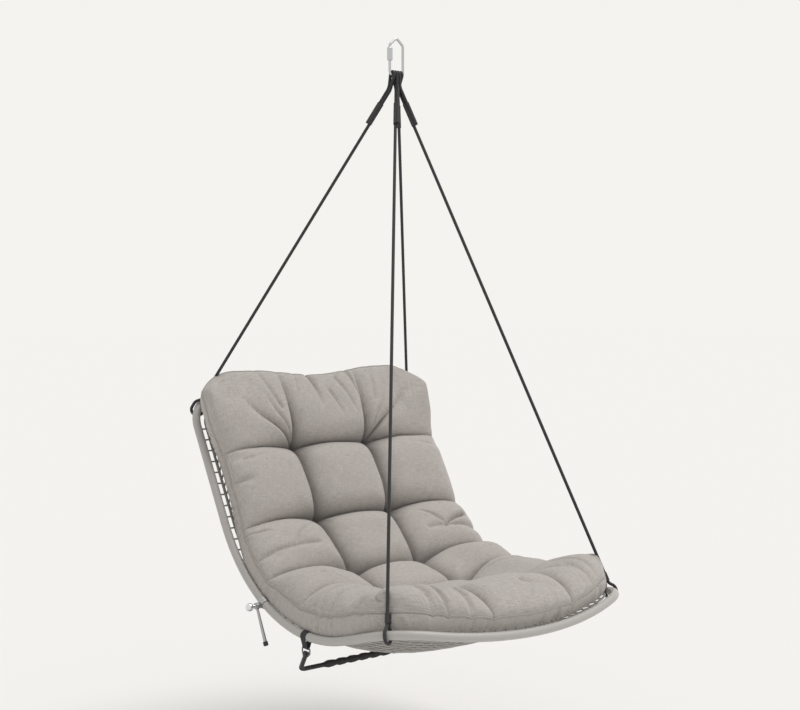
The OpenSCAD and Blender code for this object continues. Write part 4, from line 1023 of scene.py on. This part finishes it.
class SWING_OT_hardware(bpy.types.Operator):
    """Gives the ring, the link, the legs and the foot bar their finishes"""

    bl_idname = "swing.hardware"
    bl_label = "Hardware"

    def execute(self, context):
        paint = context.scene.swing_colours.ring_paint
        coated = hard_finish("Taupe Powder Coat", paint, 0.42, spread=0.06, relief=0.12, scale=1400.0, coat=0.15)
        zinc = hard_finish("Satin Zinc", (0.53, 0.54, 0.56), 0.30, 1.0, spread=0.12, relief=0.08, scale=500.0)
        bright = hard_finish("Bright Steel", (0.40, 0.40, 0.405), 0.30, 1.0, spread=0.10, scale=700.0)
        dark = hard_finish("Blackened Steel", (0.05, 0.05, 0.052), 0.35, 0.6)
        chrome = hard_finish("Polished Chrome", (0.74, 0.74, 0.75), 0.10, 1.0, spread=0.03, relief=0.01)
        rubber = hard_finish("Black Rubber", (0.03, 0.03, 0.03), 0.7, spread=0.2, relief=0.3, scale=400.0)
        black = hard_finish("Black Powder Coat", (0.02, 0.02, 0.021), 0.45, relief=0.15)
        grey_wire = hard_finish("Grey Wire", (0.20, 0.20, 0.205), 0.4, 0.5)
        webbing = hard_finish("Black Webbing", (0.02, 0.02, 0.022), 0.7, spread=0.4, relief=0.5)
        for name, material in (
            ("frame_tube", coated), ("quick_link", zinc), ("link_nut", zinc), ("foot_bar", black), ("bar_grip", rubber),
        ):
            paint_node(name, material)
        for name, material in (
            ("leg_clamp", bright), ("rest_leg", bright), ("leg_spindle", bright), ("clamp_screw", dark),
            ("buckle", grey_wire), ("leg_foot", rubber), ("leg_knob", chrome), ("strap", webbing),
        ):
            for side in SIDES:
                paint_node(f"{name}_{side}", material)
        return {"FINISHED"}


class SWING_OT_stage(bpy.types.Operator):
    """Sets the floor, the soft studio light and the camera"""

    bl_idname = "swing.stage"
    bl_label = "Stage"

    floor_drop = 0.42  # from the foot bar to the floor
    floor_half = 60
    whiter = (1.04, 1.045, 1.075)  # what makes the lit floor as pale as the backdrop

    def add_floor(self, scene, pale):
        bm = bmesh.new()
        bmesh.ops.create_grid(bm, x_segments=2, y_segments=2, size=self.floor_half)
        bmesh.ops.translate(bm, verts=bm.verts, vec=(0, 0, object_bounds()[0][2] - self.floor_drop))
        mesh = bpy.data.meshes.new("floor")
        bm.to_mesh(mesh)
        bm.free()
        material, tree, shader = new_material("Pale Floor")
        grain = noise(tree, add_node(tree, "ShaderNodeTexCoord").outputs["Object"], 30.0, 2.0)
        base = rgba([c * k for c, k in zip(pale, self.whiter)])
        tone = mix_colours(tree, maths(tree, "MULTIPLY", grain, 0.01), base, (1, 1, 1, 1))
        wire(tree, shader, Base_Color=tone, Roughness=1.0, Specular_IOR_Level=0.0)
        mesh.materials.append(material)
        floor = bpy.data.objects.new("floor", mesh)
        scene.collection.objects.link(floor)
        floor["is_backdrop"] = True

    def light_world(self, scene, pale):
        """The camera and the gloss see the pale backdrop; the light itself is softer."""
        world = bpy.data.worlds.new("Studio")
        scene.world = world
        world.use_nodes = True
        tree = world.node_tree
        tree.nodes.clear()
        out = tree.nodes.new("ShaderNodeOutputWorld")
        rays = tree.nodes.new("ShaderNodeLightPath").outputs
        gloss = maths(tree, "MAXIMUM", rays["Is Glossy Ray"], rays["Is Transmission Ray"])
        seen = maths(tree, "MAXIMUM", rays["Is Camera Ray"], gloss)
        soft = add_node(tree, "ShaderNodeBackground", {"Color": (1.0, 0.99, 0.975, 1), "Strength": 0.50})
        shown = add_node(tree, "ShaderNodeBackground", {"Color": rgba(pale), "Strength": 1.0})
        mixed = add_node(tree, "ShaderNodeMixShader", {0: seen})
        tree.links.new(soft.outputs[0], mixed.inputs[1])
        tree.links.new(shown.outputs[0], mixed.inputs[2])
        tree.links.new(mixed.outputs[0], out.inputs[0])

    def add_lamp(self, scene):
        lamp = bpy.data.lights.new("Key", "SUN")
        lamp.energy, lamp.angle, lamp.color = 1.565, radians(40), (1.0, 0.985, 0.96)
        key = bpy.data.objects.new("Key", lamp)
        key.rotation_euler = Vector((-0.38, 0.26, -1.2)).to_track_quat("-Z", "Y").to_euler()
        scene.collection.objects.link(key)

    def add_camera(self, scene):
        """The camera that was fitted to the photograph."""
        eye = bpy.data.cameras.new("Camera")
        eye.lens, eye.sensor_width = 63.0, 36.0
        camera = bpy.data.objects.new("Camera", eye)
        camera.location = (-3.311, -3.967, -0.942)
        camera.rotation_euler = (radians(90 - 2.33), 0, radians(-40))
        scene.collection.objects.link(camera)
        scene.camera = camera

    def execute(self, context):
        scene = context.scene
        scene.view_settings.view_transform = "Standard"
        pale = scene.swing_colours.floor
        self.add_floor(scene, pale)
        self.light_world(scene, pale)
        self.add_lamp(scene)
        self.add_camera(scene)
        return {"FINISHED"}


class SWING_PT_panel(bpy.types.Panel):
    bl_label = "Hanging Swing Bed"
    bl_space_type = "VIEW_3D"
    bl_region_type = "UI"
    bl_category = "Swing"

    def draw(self, context):
        for group in (context.scene.swing_sizes, context.scene.swing_colours):
            for key in group.__annotations__:
                self.layout.prop(group, key)
        for operator in OPERATORS:
            self.layout.operator(operator.bl_idname)


OPERATORS = (SWING_OT_cushion, SWING_OT_ropes, SWING_OT_net, SWING_OT_hardware, SWING_OT_stage)
CLASSES = (SwingSizes, SwingColours, *OPERATORS, SWING_PT_panel)


def register():
    for kind in CLASSES:
        bpy.utils.register_class(kind)
    bpy.types.Scene.swing_sizes = bpy.props.PointerProperty(type=SwingSizes)
    bpy.types.Scene.swing_colours = bpy.props.PointerProperty(type=SwingColours)


def unregister():
    del bpy.types.Scene.swing_colours
    del bpy.types.Scene.swing_sizes
    for kind in reversed(CLASSES):
        bpy.utils.unregister_class(kind)


def main():
    register()
    build_weave()
    build_plait()
    build_grain()
    for operator in OPERATORS:
        group, name = operator.bl_idname.split(".")
        getattr(getattr(bpy.ops, group), name)()
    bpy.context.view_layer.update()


if __name__ == "__main__":
    main()
